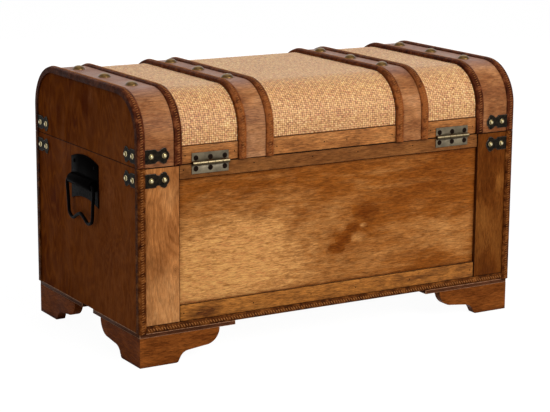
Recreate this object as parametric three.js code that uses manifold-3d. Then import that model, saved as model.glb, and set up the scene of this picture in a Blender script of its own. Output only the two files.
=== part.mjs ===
// Sea chest with a lid of rounded corners, strapped and edged with leather, on four bracket feet.
// Millimetres. X runs along the chest, -Y is its front, +Y its back with the hinges, and +Z is up.
// The origin lies on the floor under the middle of the chest.

import * as THREE from "three";
import { mergeVertices } from "three/addons/utils/BufferGeometryUtils.js";
import Module from "manifold-3d";

// The whole chest
const chestLength = 660; // over the corner leather
const chestDepth = 358; // over the corner leather
const chestHeight = 400; // from the floor to the crest of the strap leather
const lidHeight = 108.6; // from the joint between case and lid to the same crest
const lidCornerRadius = 68; // at the crest of the strap leather
const seamGap = 0.6; // between the edges of the case and of the lid

// Boards of the bare box
const endThickness = 9;
const sideThickness = 6;
const floorThickness = 6;
const lidShellThickness = 5;

// Layers laid on the front and back of the box, and over its lid
const weaveThickness = 1.6;
const backingThickness = 0.8; // leather that passes under a strap's band
const bandThickness = 2.2; // bent wooden band of a strap
const beadProud = 3.2; // crest of a leather bead above the band
const beadCrown = 2.4; // how far the crest stands above the bead's edges
const beadWidth = 12.5;
const railThickness = 3.4;

// Stiles, rails and straps
const stileWidth = 67.5; // over the corner leather
const caseTopRailHeight = 21.2;
const caseBottomRailHeight = 25;
const lidRailHeight = 26.3;
const endStrapWidth = 71; // over its leather
const middleStrapWidth = 58; // over its leather
const sideBayWidth = 92.5; // woven bay between an end strap and a middle one

// Leather at the corners and along the foot of the case
const lipThickness = 2.2; // on the end faces
const lipReach = 6.6; // from the edge of the end board inwards
const trimHeight = 10;
const trimProud = 6.6; // crest of the bottom trim above the box
const trimCrown = 2;
const leatherBevel = 2; // at the seam, so that the leather clears itself as the lid opens

// Bracket feet
const footBoardHeight = 44;
const footPlateThickness = 6.5;
const footPlateGap = 37.6; // between the front and back plates of one end
const footPlateArm = 40;
const footBoardThickness = 14;
const coveRadius = 17; // hollow curve by the foot
const ogeeStraight = 26; // between the two curves
const bulgeRadius = 24; // full curve under the plate
const plateOverhang = 26.5; // of the plate past the bracket's tip

// Iron corner brackets
const bracketThickness = 1.2;
const bracketHalfHeight = 10;
const bracketRise = 16.1; // from the seam up to the middle of a lid bracket
const bracketDrop = 18.7; // from the seam down to the middle of a case bracket
const bracketKnob = 40.8; // from the corner to the middle of the knob, along the face
const bracketEndShorter = 4; // the leg on the end is this much shorter
const bracketNailPitch = 21;
const knobRadius = 8;
const lobeRadius = 4.2;
const lobeRise = 7.3;
const notchRadius = 4.6;
const notchRise = 11.6;
const notchSetback = 9.4; // from the knob's middle to the waist

// Brass nails
const bracketNailRadius = 3.7;
const bracketNailHeight = 2.2;
const strapNailRadius = 8.5;
const strapNailHeight = 3.2;
const strapNailPitch = 90;

// Butt hinges on the back
const hingeWidth = 60;
const knuckleCount = 5;
const hingeLeafReach = 15.2; // from the hinge axis to a leaf's far edge
const hingeLeafThickness = 1.2;
const barrelRadius = 3;
const barrelStandoff = 0.2; // between the barrel and the rail behind it
const hingePinRadius = 1.2;
const screwPitch = 23.5;
const screwSetback = 7.4; // from a leaf's far edge to its screws
const screwHeadRadius = 3.5;
const screwHeadHeight = 0.6;

// Drop handles on the ends
const handlePivotDrop = 49.4; // from the seam down to the bail's axis
const handlePlateMargin = 7.5; // of the plate past the housing's ends
const handlePlateBelow = 32; // from the pivot down to the plate's lower corners
const handlePlateAbove = 32; // from the pivot up to the plate's shoulders
const handlePlateArch = 8; // rise of its upper and lower edges at the middle
const handlePlateThickness = 1.6;
const housingHalfLength = 39;
const housingHalfHeight = 9;
const housingReach = 11.5; // from the plate outwards
const bailStandoff = 7.2; // from the plate to the bail's axis
const bailRadius = 2.5;
const bailSocketDepth = 9;
const bailElbowReach = 6.5; // of the elbows past the housing's ends
const bailFootReach = 1; // of the lower corners past the housing's ends
const bailDrop = 56; // from the pivot to the lower corners
const bailDip = 2; // the grip's low stretches below the corners
const bailRise = 8.5; // the grip's middle above the corners
const bailDipSetback = 15; // from a lower corner to the middle of a low stretch
const bailBend = 5;
const rivetRadius = 3;
const rivetHeight = 1.4;
const rivetInset = 11; // from the plate's edges

// Front catch: a tongue on the lid that slips into a keeper on the case
const catchWidth = 36;
const catchPlateThickness = 1.6;
const catchPlateHeight = 17;
const catchEdgeGap = 3; // between the seam and either plate
const tongueWidth = 14;
const tongueThickness = 1.6;
const tongueLength = 12; // below the lid's plate
const keeperWall = 2;
const keeperHeight = 8;

// Clearances and cuts
const fitGap = 0.3; // between pieces that pass through or over each other
const cutOverrun = 2; // how far a cutter runs past what it cuts

// Facets of round shapes
const cornerSteps = 10;
const crownSteps = 6;
const discSides = 12;
const nailSides = 8;
const archSteps = 8;
const bailSteps = 44;
const bailSides = 8;

// Levels above the bare box, and the box itself
const backingTop = weaveThickness + backingThickness;
const bandLevel = backingTop + bandThickness;
const crestLevel = bandLevel + beadProud;
const beadEdgeLevel = crestLevel - beadCrown;
const seamHeight = chestHeight - lidHeight;
const boxHalfDepth = chestDepth / 2 - crestLevel;
const boxTop = chestHeight - crestLevel;
const boxRadius = lidCornerRadius - crestLevel;
const endFace = chestLength / 2 - lipThickness;
const boxHalfLength = endFace - endThickness;
const bandFace = boxHalfDepth + bandLevel;
const railFace = boxHalfDepth + railThickness;
const caseBottom = footBoardHeight + footPlateThickness;
const caseTop = seamHeight - seamGap / 2;
const lidBottom = seamHeight + seamGap / 2;
const lidRailTop = lidBottom + lidRailHeight;
const trimTop = caseBottom + trimHeight;
const cornerInner = chestLength / 2 - beadWidth;
const stileInner = chestLength / 2 - stileWidth;
const endStrapInner = chestLength / 2 - endStrapWidth;
const middleStrap = {
  inner: endStrapInner - sideBayWidth - middleStrapWidth,
  outer: endStrapInner - sideBayWidth,
};
const hingeCentre = (middleStrap.outer + endStrapInner) / 2;
const handlePivotHeight = seamHeight - handlePivotDrop;
const handlePlateHalfWidth = housingHalfLength + handlePlateMargin;
const footPlateReach = bandFace - footPlateGap / 2;
const bulgeEnd = footPlateReach - plateOverhang;
const coveStart = bulgeEnd - bulgeRadius - ogeeStraight - coveRadius;
const hingeAxisY = railFace + barrelStandoff + barrelRadius;

// Looks of the materials
const looks = {
  panelWood: { color: 0x8f5a2a, roughness: 0.45, metalness: 0 },
  frameWood: { color: 0x9a6230, roughness: 0.42, metalness: 0 },
  footWood: { color: 0x7d4a26, roughness: 0.5, metalness: 0 },
  boardWood: { color: 0xb98a58, roughness: 0.7, metalness: 0 },
  leather: { color: 0x5d2f1a, roughness: 0.5, metalness: 0 },
  weave: { color: 0xd0a468, roughness: 0.8, metalness: 0 },
  iron: { color: 0x1d1a1a, roughness: 0.5, metalness: 0.8 },
  brass: { color: 0x8f8a6c, roughness: 0.35, metalness: 1 },
};

const wasm = await Module();
wasm.setup();

// A closed geometry as a solid that can be cut and joined
function solid(geometry) {
  const bare = new THREE.BufferGeometry();
  bare.setAttribute("position", geometry.getAttribute("position"));
  bare.setIndex(geometry.getIndex());
  const merged = mergeVertices(bare);
  return new wasm.Manifold(
    new wasm.Mesh({
      numProp: 3,
      vertProperties: merged.getAttribute("position").array,
      triVerts: new Uint32Array(merged.getIndex().array),
    }),
  );
}

// The geometry of a solid
function geometryOf(body) {
  const mesh = body.getMesh();
  const geometry = new THREE.BufferGeometry();
  geometry.setAttribute("position", new THREE.BufferAttribute(mesh.vertProperties, 3));
  geometry.setIndex(new THREE.BufferAttribute(mesh.triVerts, 1));
  geometry.computeVertexNormals();
  return geometry;
}

const join = (first, ...rest) =>
  geometryOf(rest.reduce((body, next) => body.add(solid(next)), solid(first)));

const cut = (first, ...rest) =>
  geometryOf(rest.reduce((body, next) => body.subtract(solid(next)), solid(first)));

// A rectangular block between two values on each axis
function block([x0, x1], [y0, y1], [z0, z1]) {
  const box = new THREE.BoxGeometry(x1 - x0, y1 - y0, z1 - z0);
  return box.translate((x0 + x1) / 2, (y0 + y1) / 2, (z0 + z1) / 2);
}

// Directions in which an outline's two axes and its depth point, for each way of extruding it
const extrusionAxes = {
  x: [[0, 1, 0], [0, 0, 1], [1, 0, 0]],
  y: [[0, 0, 1], [1, 0, 0], [0, 1, 0]],
  z: [[1, 0, 0], [0, 1, 0], [0, 0, 1]],
};

// An outline extruded along an axis: it is drawn in (Y, Z) for x, in (Z, X) for y and in (X, Y) for z
function prism(axis, outline, low, high) {
  const shape = new THREE.Shape(outline.map(([u, v]) => new THREE.Vector2(u, v)));
  const body = new THREE.ExtrudeGeometry(shape, { depth: high - low, bevelEnabled: false });
  body.translate(0, 0, low);
  const [u, v, w] = extrusionAxes[axis].map((direction) => new THREE.Vector3(...direction));
  return body.applyMatrix4(new THREE.Matrix4().makeBasis(u, v, w));
}

// A round bar along an axis, centred on two coordinates in the order that prism() uses
function bar(axis, [u, v], radius, low, high, sides = discSides) {
  const outline = Array.from({ length: sides }, (_, i) => {
    const turn = ((i + 0.5) / sides) * 2 * Math.PI;
    return [u + radius * Math.cos(turn), v + radius * Math.sin(turn)];
  });
  return prism(axis, outline, low, high);
}

// A nail's domed head on a face: the axis is the one that the face looks along
function nailHead(axis, place, radius, height) {
  const shoulderShares = { radius: 0.72, height: 0.66 };
  const profile = [
    new THREE.Vector2(0, -fitGap),
    new THREE.Vector2(radius, -fitGap),
    new THREE.Vector2(radius, 0),
    new THREE.Vector2(radius * shoulderShares.radius, height * shoulderShares.height),
    new THREE.Vector2(0, height),
  ];
  const head = new THREE.LatheGeometry(profile, nailSides);
  if (axis === "x") head.rotateZ(-Math.PI / 2);
  if (axis === "z") head.rotateX(Math.PI / 2);
  return head.translate(...place);
}

// Places along the outside of the bare lid, from its back edge over the top to its front edge,
// each with the direction that points away from the wood
function lidPath(lowEnd) {
  const centreY = boxHalfDepth - boxRadius;
  const centreZ = boxTop - boxRadius;
  const path = [{ y: boxHalfDepth, z: lowEnd, ny: 1, nz: 0 }];
  for (const side of [1, -1])
    for (let i = 0; i <= cornerSteps; i++) {
      const turn = ((side > 0 ? i : cornerSteps - i) / cornerSteps) * (Math.PI / 2);
      const ny = side * Math.cos(turn);
      const nz = Math.sin(turn);
      path.push({ y: side * centreY + boxRadius * ny, z: centreZ + boxRadius * nz, ny, nz });
    }
  path.push({ y: -boxHalfDepth, z: lowEnd, ny: -1, nz: 0 });
  return path;
}

// The same on the upright back of the box, between two heights
const uprightPath = (low, high) => [low, high].map((z) => ({ y: boxHalfDepth, z, ny: 1, nz: 0 }));

// A section of points (x, level above the box), anticlockwise, carried along a path
function sweep(path, section) {
  const places = path.flatMap(({ y, z, ny, nz }) =>
    section.flatMap(([x, level]) => [x, y + ny * level, z + nz * level]),
  );
  const count = section.length;
  const last = (path.length - 1) * count;
  const faces = [];
  for (let s = 0; s < path.length - 1; s++)
    for (let i = 0; i < count; i++) {
      const j = (i + 1) % count;
      const [a, b, c, d] = [s * count + i, s * count + j, (s + 1) * count + j, (s + 1) * count + i];
      faces.push(a, b, c, a, c, d);
    }
  const corners = section.map(([x, level]) => new THREE.Vector2(x, level));
  for (const [a, b, c] of THREE.ShapeUtils.triangulateShape(corners, [])) {
    faces.push(a, c, b);
    faces.push(last + a, last + b, last + c);
  }
  const geometry = new THREE.BufferGeometry();
  geometry.setAttribute("position", new THREE.Float32BufferAttribute(places, 3));
  geometry.setIndex(faces);
  geometry.computeVertexNormals();
  return geometry;
}

const rectangle = (x0, x1, low, high) => [[x0, low], [x1, low], [x1, high], [x0, high]];

// The rounded top of a leather bead, from its edge at the greater x to the other one
function crown(x0, x1, edge, rise) {
  return Array.from({ length: crownSteps + 1 }, (_, i) => {
    const turn = (i / crownSteps) * Math.PI;
    return [(x0 + x1) / 2 + ((x1 - x0) / 2) * Math.cos(turn), edge + rise * Math.sin(turn)];
  });
}

// Boards of the bare case
const caseEnd = () => block([boxHalfLength, endFace], [-bandFace, bandFace], [caseBottom, caseTop]);

const caseSide = () =>
  sweep(
    uprightPath(caseBottom, caseTop),
    rectangle(-boxHalfLength, boxHalfLength, -sideThickness, 0),
  );

function floorBoard() {
  const inner = boxHalfDepth - sideThickness;
  const heights = [caseBottom, caseBottom + floorThickness];
  return block([-boxHalfLength, boxHalfLength], [-inner, inner], heights);
}

// Frame laid on the front and back of the case
const stile = () =>
  sweep(uprightPath(trimTop, caseTop), rectangle(stileInner, boxHalfLength, 0, bandLevel));

const caseRail = (low, high) =>
  sweep(uprightPath(low, high), rectangle(-stileInner, stileInner, 0, railThickness));

// Leather trim along the foot of the case, between the corners
function bottomTrim() {
  const crest = crown(caseBottom, trimTop, trimProud - trimCrown, trimCrown);
  const outline = [[boxHalfDepth, caseBottom], [boxHalfDepth, trimTop]];
  for (const [z, level] of crest) outline.push([boxHalfDepth + level, z]);
  return prism("x", outline, -cornerInner, cornerInner);
}

// Room for an iron bracket under the leather of a corner, at the bracket's height
function bracketRoom(height) {
  const heights = [height - bracketHalfHeight - fitGap, height + bracketHalfHeight + fitGap];
  const outerY = bandFace + bracketThickness + fitGap;
  const outerX = endFace + bracketThickness + fitGap;
  const lipFoot = bandFace - lipReach - cutOverrun;
  const onFace = block([cornerInner - cutOverrun, outerX], [bandFace - cutOverrun, outerY], heights);
  return join(onFace, block([endFace - cutOverrun, outerX], [lipFoot, outerY], heights));
}

// Wedge that bevels a corner's leather at the seam: way is 1 for the lid's leather, above the seam
function seamBevel(edgeHeight, way) {
  const crest = boxHalfDepth + crestLevel;
  const outline = [
    [crest - leatherBevel - cutOverrun, edgeHeight - way * cutOverrun],
    [crest + cutOverrun, edgeHeight - way * cutOverrun],
    [crest + cutOverrun, edgeHeight + way * (leatherBevel + cutOverrun)],
  ];
  return prism("x", outline, endStrapInner - cutOverrun, chestLength / 2 + cutOverrun);
}

// Leather up one corner of the case, turned round onto the end
function cornerLeather() {
  const outer = chestLength / 2;
  const section = [
    [cornerInner, bandLevel],
    [endFace, bandLevel],
    [endFace, bandLevel - lipReach],
    [outer, bandLevel - lipReach],
    ...crown(cornerInner, outer, beadEdgeLevel, beadCrown),
  ];
  const strip = sweep(uprightPath(caseBottom, caseTop), section);
  return cut(strip, bracketRoom(seamHeight - bracketDrop), seamBevel(caseTop, -1));
}

// Bare lid: a bent shell between two ends
const lidShell = () =>
  sweep(
    lidPath(lidBottom),
    rectangle(-boxHalfLength, boxHalfLength, -lidShellThickness, 0),
  );

function lidEnd() {
  const rim = lidPath(lidBottom).map((p) => [p.y + p.ny * bandLevel, p.z + p.nz * bandLevel]);
  return prism("x", rim, boxHalfLength, endFace);
}

const lidWeave = () =>
  sweep(lidPath(lidRailTop), rectangle(-boxHalfLength, boxHalfLength, 0, weaveThickness));

// Rail along the lid's edge, thinned to the weave's thickness where the straps cross it
function lidRail() {
  const half = [
    [boxHalfLength, 0],
    [boxHalfLength, weaveThickness],
    [endStrapInner, weaveThickness],
    [endStrapInner, railThickness],
    [middleStrap.outer, railThickness],
    [middleStrap.outer, weaveThickness],
    [middleStrap.inner, weaveThickness],
    [middleStrap.inner, railThickness],
  ];
  const otherHalf = half.map(([x, level]) => [-x, level]).reverse();
  return sweep(uprightPath(lidBottom, lidRailTop), [...half, ...otherHalf]);
}

// A strap's bent wooden band with its three brass nails
function strapBand(inner, outer) {
  const band = sweep(lidPath(lidBottom), rectangle(inner, outer, backingTop, bandLevel));
  const nails = [-strapNailPitch, 0, strapNailPitch].map((y) =>
    nailHead("z", [(inner + outer) / 2, y, boxTop + bandLevel], strapNailRadius, strapNailHeight),
  );
  return join(band, ...nails);
}

// A strap's leather: a backing under the band, its two edges turned up as beads
const middleStrapLeather = () =>
  sweep(lidPath(lidBottom), [
    [middleStrap.inner, weaveThickness],
    [middleStrap.outer, weaveThickness],
    ...crown(middleStrap.outer - beadWidth, middleStrap.outer, beadEdgeLevel, beadCrown),
    [middleStrap.outer - beadWidth, backingTop],
    [middleStrap.inner + beadWidth, backingTop],
    ...crown(middleStrap.inner, middleStrap.inner + beadWidth, beadEdgeLevel, beadCrown),
  ]);

// The end straps' outer beads also cover the edge of the lid's end
function endStrapLeather() {
  const outer = chestLength / 2;
  const whole = sweep(lidPath(lidBottom), [
    [endStrapInner, weaveThickness],
    [boxHalfLength, weaveThickness],
    [boxHalfLength, bandLevel],
    [endFace, bandLevel],
    [endFace, bandLevel - lipReach],
    [outer, bandLevel - lipReach],
    ...crown(cornerInner, outer, beadEdgeLevel, beadCrown),
    [cornerInner, backingTop],
    [endStrapInner + beadWidth, backingTop],
    ...crown(endStrapInner, endStrapInner + beadWidth, beadEdgeLevel, beadCrown),
  ]);
  const atBack = [bracketRoom(seamHeight + bracketRise), seamBevel(lidBottom, 1)];
  const atFront = atBack.map((cutter) => turnedToFront(cutter));
  return cut(whole, ...atBack, ...atFront);
}

// A cutter on the back, mirrored onto the front with its faces still pointing out
function turnedToFront(geometry) {
  const mirrored = geometry.index ? geometry.toNonIndexed() : geometry.clone();
  mirrored.scale(1, -1, 1);
  const places = mirrored.getAttribute("position");
  for (let i = 0; i < places.count; i += 3) {
    const second = new THREE.Vector3().fromBufferAttribute(places, i + 1);
    const third = new THREE.Vector3().fromBufferAttribute(places, i + 2);
    places.setXYZ(i + 1, ...third.toArray());
    places.setXYZ(i + 2, ...second.toArray());
  }
  return mergeVertices(new THREE.BufferGeometry().setAttribute("position", places));
}

// Feet: an outline along one face, measured from the corner, for the two boards that meet there
function footOutline() {
  const outline = [[0, 0], [coveStart, 0]];
  for (let i = 1; i <= archSteps; i++) {
    const turn = (i / archSteps) * (Math.PI / 2);
    const along = coveStart + coveRadius * (1 - Math.cos(turn));
    outline.push([along, coveRadius * Math.sin(turn)]);
  }
  for (let i = 0; i <= archSteps; i++) {
    const turn = (i / archSteps) * (Math.PI / 2);
    const along = bulgeEnd - bulgeRadius * (1 - Math.sin(turn));
    outline.push([along, footBoardHeight - bulgeRadius * Math.cos(turn)]);
  }
  outline.push([0, footBoardHeight]);
  return outline;
}

function foot() {
  const along = footOutline();
  const onFace = along.map(([s, z]) => [z, endFace - s]);
  const onEnd = along.map(([s, z]) => [bandFace - s, z]);
  return join(
    prism("y", onFace, bandFace - footBoardThickness, bandFace),
    prism("x", onEnd, endFace - footBoardThickness, endFace),
  );
}

function footPlate() {
  const [x, y] = [endFace, bandFace];
  const outline = [
    [x, y],
    [x - footPlateReach, y],
    [x - footPlateReach, y - footPlateArm],
    [x - footPlateArm, y - footPlateReach],
    [x, y - footPlateReach],
  ];
  return prism("z", outline, footBoardHeight, caseBottom);
}

// Corner brackets: each leg ends in a waist and a knob of three lobes
function bracketLeg(axis, knob, height) {
  const face = axis === "y" ? bandFace : endFace;
  const corner = axis === "y" ? endFace : bandFace;
  const span = [face, face + bracketThickness];
  const at = (along, rise) =>
    axis === "y" ? [height + rise, corner - along] : [corner - along, height + rise];
  const heights = [height - bracketHalfHeight, height + bracketHalfHeight];
  const length = [corner - knob, corner + bracketThickness];
  const strap = axis === "y" ? block(length, span, heights) : block(span, length, heights);
  const rounds = [[0, knobRadius], [lobeRise, lobeRadius], [-lobeRise, lobeRadius]];
  const discs = rounds.map(([rise, radius]) => bar(axis, at(knob, rise), radius, ...span));
  const leg = join(strap, ...discs);
  const waist = [notchRise, -notchRise].map((rise) => {
    const place = at(knob - notchSetback, rise);
    return bar(axis, place, notchRadius, span[0] - cutOverrun, span[1] + cutOverrun);
  });
  const nails = [knob, knob - bracketNailPitch].map((along) => {
    const place = axis === "y" ? [corner - along, span[1], height] : [span[1], corner - along, height];
    return nailHead(axis, place, bracketNailRadius, bracketNailHeight);
  });
  return join(cut(leg, ...waist), ...nails);
}

const bracket = (height) =>
  join(
    bracketLeg("y", bracketKnob, height),
    bracketLeg("x", bracketKnob - bracketEndShorter, height),
  );

// Hinges: five knuckles, of which the case's leaf has the outer and middle ones and the pin
function hingeLeaf(way) {
  const pitch = hingeWidth / knuckleCount;
  const left = hingeCentre - hingeWidth / 2;
  const faces = [railFace, railFace + hingeLeafThickness];
  const reach = [seamHeight + way * fitGap, seamHeight + way * hingeLeafReach].sort((a, b) => a - b);
  const axis = [hingeAxisY, seamHeight];
  const room = barrelRadius + fitGap;
  const notchDepth = [faces[0] - cutOverrun, hingeAxisY];
  const notchHeight = [seamHeight - room, seamHeight + room];
  let leaf = block([left, left + hingeWidth], faces, reach);
  for (let i = 0; i < knuckleCount; i++) {
    const low = left + i * pitch;
    const high = low + pitch;
    const isFirst = i === 0;
    const isLast = i === knuckleCount - 1;
    const isCaseKnuckle = i % 2 === 0;
    if (isCaseKnuckle === way < 0) {
      const from = isFirst ? low : low + fitGap / 2;
      const to = isLast ? high : high - fitGap / 2;
      leaf = join(leaf, bar("x", axis, barrelRadius, from, to));
    } else {
      const from = isFirst ? low - cutOverrun : low - fitGap / 2;
      const to = isLast ? high + cutOverrun : high + fitGap / 2;
      leaf = cut(leaf, block([from, to], notchDepth, notchHeight));
    }
  }
  const heads = [-screwPitch, 0, screwPitch].map((along) => {
    const place = [hingeCentre + along, faces[1], seamHeight + way * (hingeLeafReach - screwSetback)];
    return nailHead("y", place, screwHeadRadius, screwHeadHeight);
  });
  leaf = join(leaf, ...heads);
  if (way < 0) return join(leaf, bar("x", axis, hingePinRadius, left, left + hingeWidth));
  return cut(
    leaf,
    bar("x", axis, hingePinRadius + fitGap, left - cutOverrun, left + hingeWidth + cutOverrun),
  );
}

// Drop handle: a plate with a rounded housing across it, in whose ends the bail turns
function handlePlate() {
  const face = endFace + handlePlateThickness;
  const arch = Array.from({ length: archSteps + 1 }, (_, i) => {
    const share = (2 * i) / archSteps - 1;
    return [handlePlateHalfWidth * share, handlePlateArch * (1 - share * share)];
  });
  const lower = arch.map(([y, rise]) => [y, handlePivotHeight - handlePlateBelow + rise]);
  const upper = arch.map(([y, rise]) => [y, handlePivotHeight + handlePlateAbove + rise]).reverse();
  const plate = prism("x", [...lower, ...upper], endFace, face);
  const housing = Array.from({ length: archSteps + 1 }, (_, i) => {
    const turn = (i / archSteps) * Math.PI;
    const across = face + housingReach * Math.sin(turn);
    return [handlePivotHeight - housingHalfHeight * Math.cos(turn), across];
  });
  for (const side of [1, -1]) housing.push([handlePivotHeight + side * housingHalfHeight, endFace]);
  const axis = [handlePivotHeight, face + bailStandoff];
  const sockets = [-1, 1].map((side) => {
    const floor = side * (housingHalfLength - bailSocketDepth - fitGap);
    const mouth = side * (housingHalfLength + cutOverrun);
    return bar("y", axis, bailRadius + fitGap, Math.min(floor, mouth), Math.max(floor, mouth));
  });
  const rivets = [-1, 1].map((side) => {
    const place = [face, side * (handlePlateHalfWidth - rivetInset)];
    const height = handlePivotHeight + handlePlateAbove - rivetInset / 2;
    return nailHead("x", [...place, height], rivetRadius, rivetHeight);
  });
  const across = prism("y", housing, -housingHalfLength, housingHalfLength);
  return cut(join(plate, across, ...rivets), ...sockets);
}

// The bail hangs from its sockets, bows out at the elbows and ends in a waved grip
function bail() {
  const axisX = endFace + handlePlateThickness + bailStandoff;
  const elbow = housingHalfLength + bailElbowReach;
  const corner = housingHalfLength + bailFootReach;
  const dip = corner - bailDipSetback;
  const half = [
    [housingHalfLength - bailSocketDepth, 0],
    [housingHalfLength, 0],
    [elbow - bailBend, 0],
    [elbow, -bailBend],
    [(elbow + corner) / 2, -(bailDrop + bailBend) / 2],
    [corner, -bailDrop + bailBend],
    [corner - bailBend, -bailDrop],
    [dip, -bailDrop - bailDip],
    [dip / 2, -bailDrop + bailRise / 2],
  ];
  const otherHalf = half.map(([y, drop]) => [-y, drop]).reverse();
  const places = [...half, [0, -bailDrop + bailRise], ...otherHalf];
  const route = new THREE.CatmullRomCurve3(
    places.map(([y, drop]) => new THREE.Vector3(axisX, y, handlePivotHeight + drop)),
    false,
    "centripetal",
  );
  const ring = Array.from({ length: bailSides }, (_, i) => {
    const turn = (i / bailSides) * 2 * Math.PI;
    return new THREE.Vector2(bailRadius * Math.cos(turn), bailRadius * Math.sin(turn));
  });
  return new THREE.ExtrudeGeometry(new THREE.Shape(ring), { steps: bailSteps, extrudePath: route });
}

// Front catch, drawn on the back wall and mirrored to the front
function catchTongue() {
  const plateLow = lidBottom + catchEdgeGap;
  const plate = block(
    [-catchWidth / 2, catchWidth / 2],
    [railFace, railFace + catchPlateThickness],
    [plateLow, plateLow + catchPlateHeight],
  );
  const inner = railFace + catchPlateThickness + fitGap;
  const half = tongueWidth / 2;
  const tongue = block(
    [-half, half],
    [inner, inner + tongueThickness],
    [plateLow - tongueLength, plateLow + catchPlateHeight / 2],
  );
  const root = block(
    [-half, half],
    [railFace, inner + tongueThickness],
    [plateLow, plateLow + catchPlateHeight / 2],
  );
  return join(plate, root, tongue);
}

function catchKeeper() {
  const plateHigh = caseTop - catchEdgeGap;
  const plateLow = plateHigh - catchPlateHeight;
  const face = railFace + catchPlateThickness;
  const plate = block([-catchWidth / 2, catchWidth / 2], [railFace, face], [plateLow, plateHigh]);
  const slotHalf = tongueWidth / 2 + fitGap;
  const slotFace = face + 2 * fitGap + tongueThickness;
  const bridgeHeights = [plateHigh - keeperHeight, plateHigh];
  const bridgeHalf = slotHalf + keeperWall;
  const bridge = block([-bridgeHalf, bridgeHalf], [railFace, slotFace + keeperWall], bridgeHeights);
  const slotHeights = [bridgeHeights[0] - cutOverrun, bridgeHeights[1] + cutOverrun];
  return cut(join(plate, bridge), block([-slotHalf, slotHalf], [face, slotFace], slotHeights));
}

// One named piece, mirrored across the chest where its sides say so
function place(group, name, geometry, look, sideX = 1, sideY = 1) {
  const mesh = new THREE.Mesh(geometry, new THREE.MeshStandardMaterial(look));
  mesh.name = name;
  mesh.scale.set(sideX, sideY, 1);
  group.add(mesh);
}

const ends = [["left", -1], ["right", 1]];
const walls = [["front", -1], ["back", 1]];
const corners = walls.flatMap(([wall, y]) => ends.map(([end, x]) => [wall + "_" + end, x, y]));

function buildCase() {
  const group = new THREE.Group();
  place(group, "floor_board", floorBoard(), looks.boardWood);
  for (const [end, x] of ends) {
    place(group, "case_end_" + end, caseEnd(), looks.panelWood, x);
    place(group, "handle_plate_" + end, handlePlate(), looks.iron, x);
    place(group, "hinge_case_leaf_" + end, hingeLeaf(-1), looks.brass, x);
  }
  const topRail = caseRail(caseTop - caseTopRailHeight, caseTop);
  const bottomRail = caseRail(trimTop, trimTop + caseBottomRailHeight);
  for (const [wall, y] of walls) {
    place(group, "case_panel_" + wall, caseSide(), looks.panelWood, 1, y);
    place(group, "case_top_rail_" + wall, topRail, looks.frameWood, 1, y);
    place(group, "case_bottom_rail_" + wall, bottomRail, looks.frameWood, 1, y);
    place(group, "bottom_trim_" + wall, bottomTrim(), looks.leather, 1, y);
  }
  for (const [corner, x, y] of corners) {
    place(group, "stile_" + corner, stile(), looks.frameWood, x, y);
    place(group, "corner_leather_" + corner, cornerLeather(), looks.leather, x, y);
    place(group, "case_bracket_" + corner, bracket(seamHeight - bracketDrop), looks.iron, x, y);
    place(group, "foot_" + corner, foot(), looks.footWood, x, y);
    place(group, "foot_plate_" + corner, footPlate(), looks.footWood, x, y);
  }
  place(group, "catch_keeper", catchKeeper(), looks.brass, 1, -1);
  return group;
}

function buildLid() {
  const group = new THREE.Group();
  place(group, "lid_shell", lidShell(), looks.boardWood);
  place(group, "lid_weave", lidWeave(), looks.weave);
  for (const [end, x] of ends) {
    const { inner, outer } = middleStrap;
    const middleBand = strapBand(inner + beadWidth, outer - beadWidth);
    const endBand = strapBand(endStrapInner + beadWidth, cornerInner);
    place(group, "lid_end_" + end, lidEnd(), looks.panelWood, x);
    place(group, "strap_band_middle_" + end, middleBand, looks.frameWood, x);
    place(group, "strap_band_end_" + end, endBand, looks.frameWood, x);
    place(group, "strap_leather_middle_" + end, middleStrapLeather(), looks.leather, x);
    place(group, "strap_leather_end_" + end, endStrapLeather(), looks.leather, x);
    place(group, "hinge_lid_leaf_" + end, hingeLeaf(1), looks.brass, x);
  }
  for (const [wall, y] of walls) place(group, "lid_rail_" + wall, lidRail(), looks.frameWood, 1, y);
  for (const [corner, x, y] of corners)
    place(group, "lid_bracket_" + corner, bracket(seamHeight + bracketRise), looks.iron, x, y);
  place(group, "catch_tongue", catchTongue(), looks.brass, 1, -1);
  return group;
}

function buildBails() {
  const group = new THREE.Group();
  for (const [end, x] of ends) place(group, "bail_" + end, bail(), looks.iron, x);
  return group;
}

const chest = new THREE.Group();
chest.add(buildCase(), buildLid(), buildBails());

export default chest;
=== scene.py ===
import math

import bmesh
import bpy
import numpy as np
from mathutils import Matrix, Vector


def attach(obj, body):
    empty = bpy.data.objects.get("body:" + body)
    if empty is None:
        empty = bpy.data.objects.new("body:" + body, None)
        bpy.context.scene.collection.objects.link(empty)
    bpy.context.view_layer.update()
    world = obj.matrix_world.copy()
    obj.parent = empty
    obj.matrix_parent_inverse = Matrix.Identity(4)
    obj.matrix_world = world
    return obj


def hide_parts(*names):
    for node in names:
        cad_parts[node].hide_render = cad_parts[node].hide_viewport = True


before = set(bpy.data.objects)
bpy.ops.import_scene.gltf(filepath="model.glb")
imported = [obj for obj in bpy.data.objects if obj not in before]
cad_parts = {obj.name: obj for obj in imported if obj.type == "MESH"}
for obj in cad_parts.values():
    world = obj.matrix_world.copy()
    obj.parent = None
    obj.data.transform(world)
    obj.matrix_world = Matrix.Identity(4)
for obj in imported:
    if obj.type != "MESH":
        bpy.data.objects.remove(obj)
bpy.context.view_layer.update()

MM = 0.001
MERGE_DISTANCE = 0.01
CROWN_STEPS = 14

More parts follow.
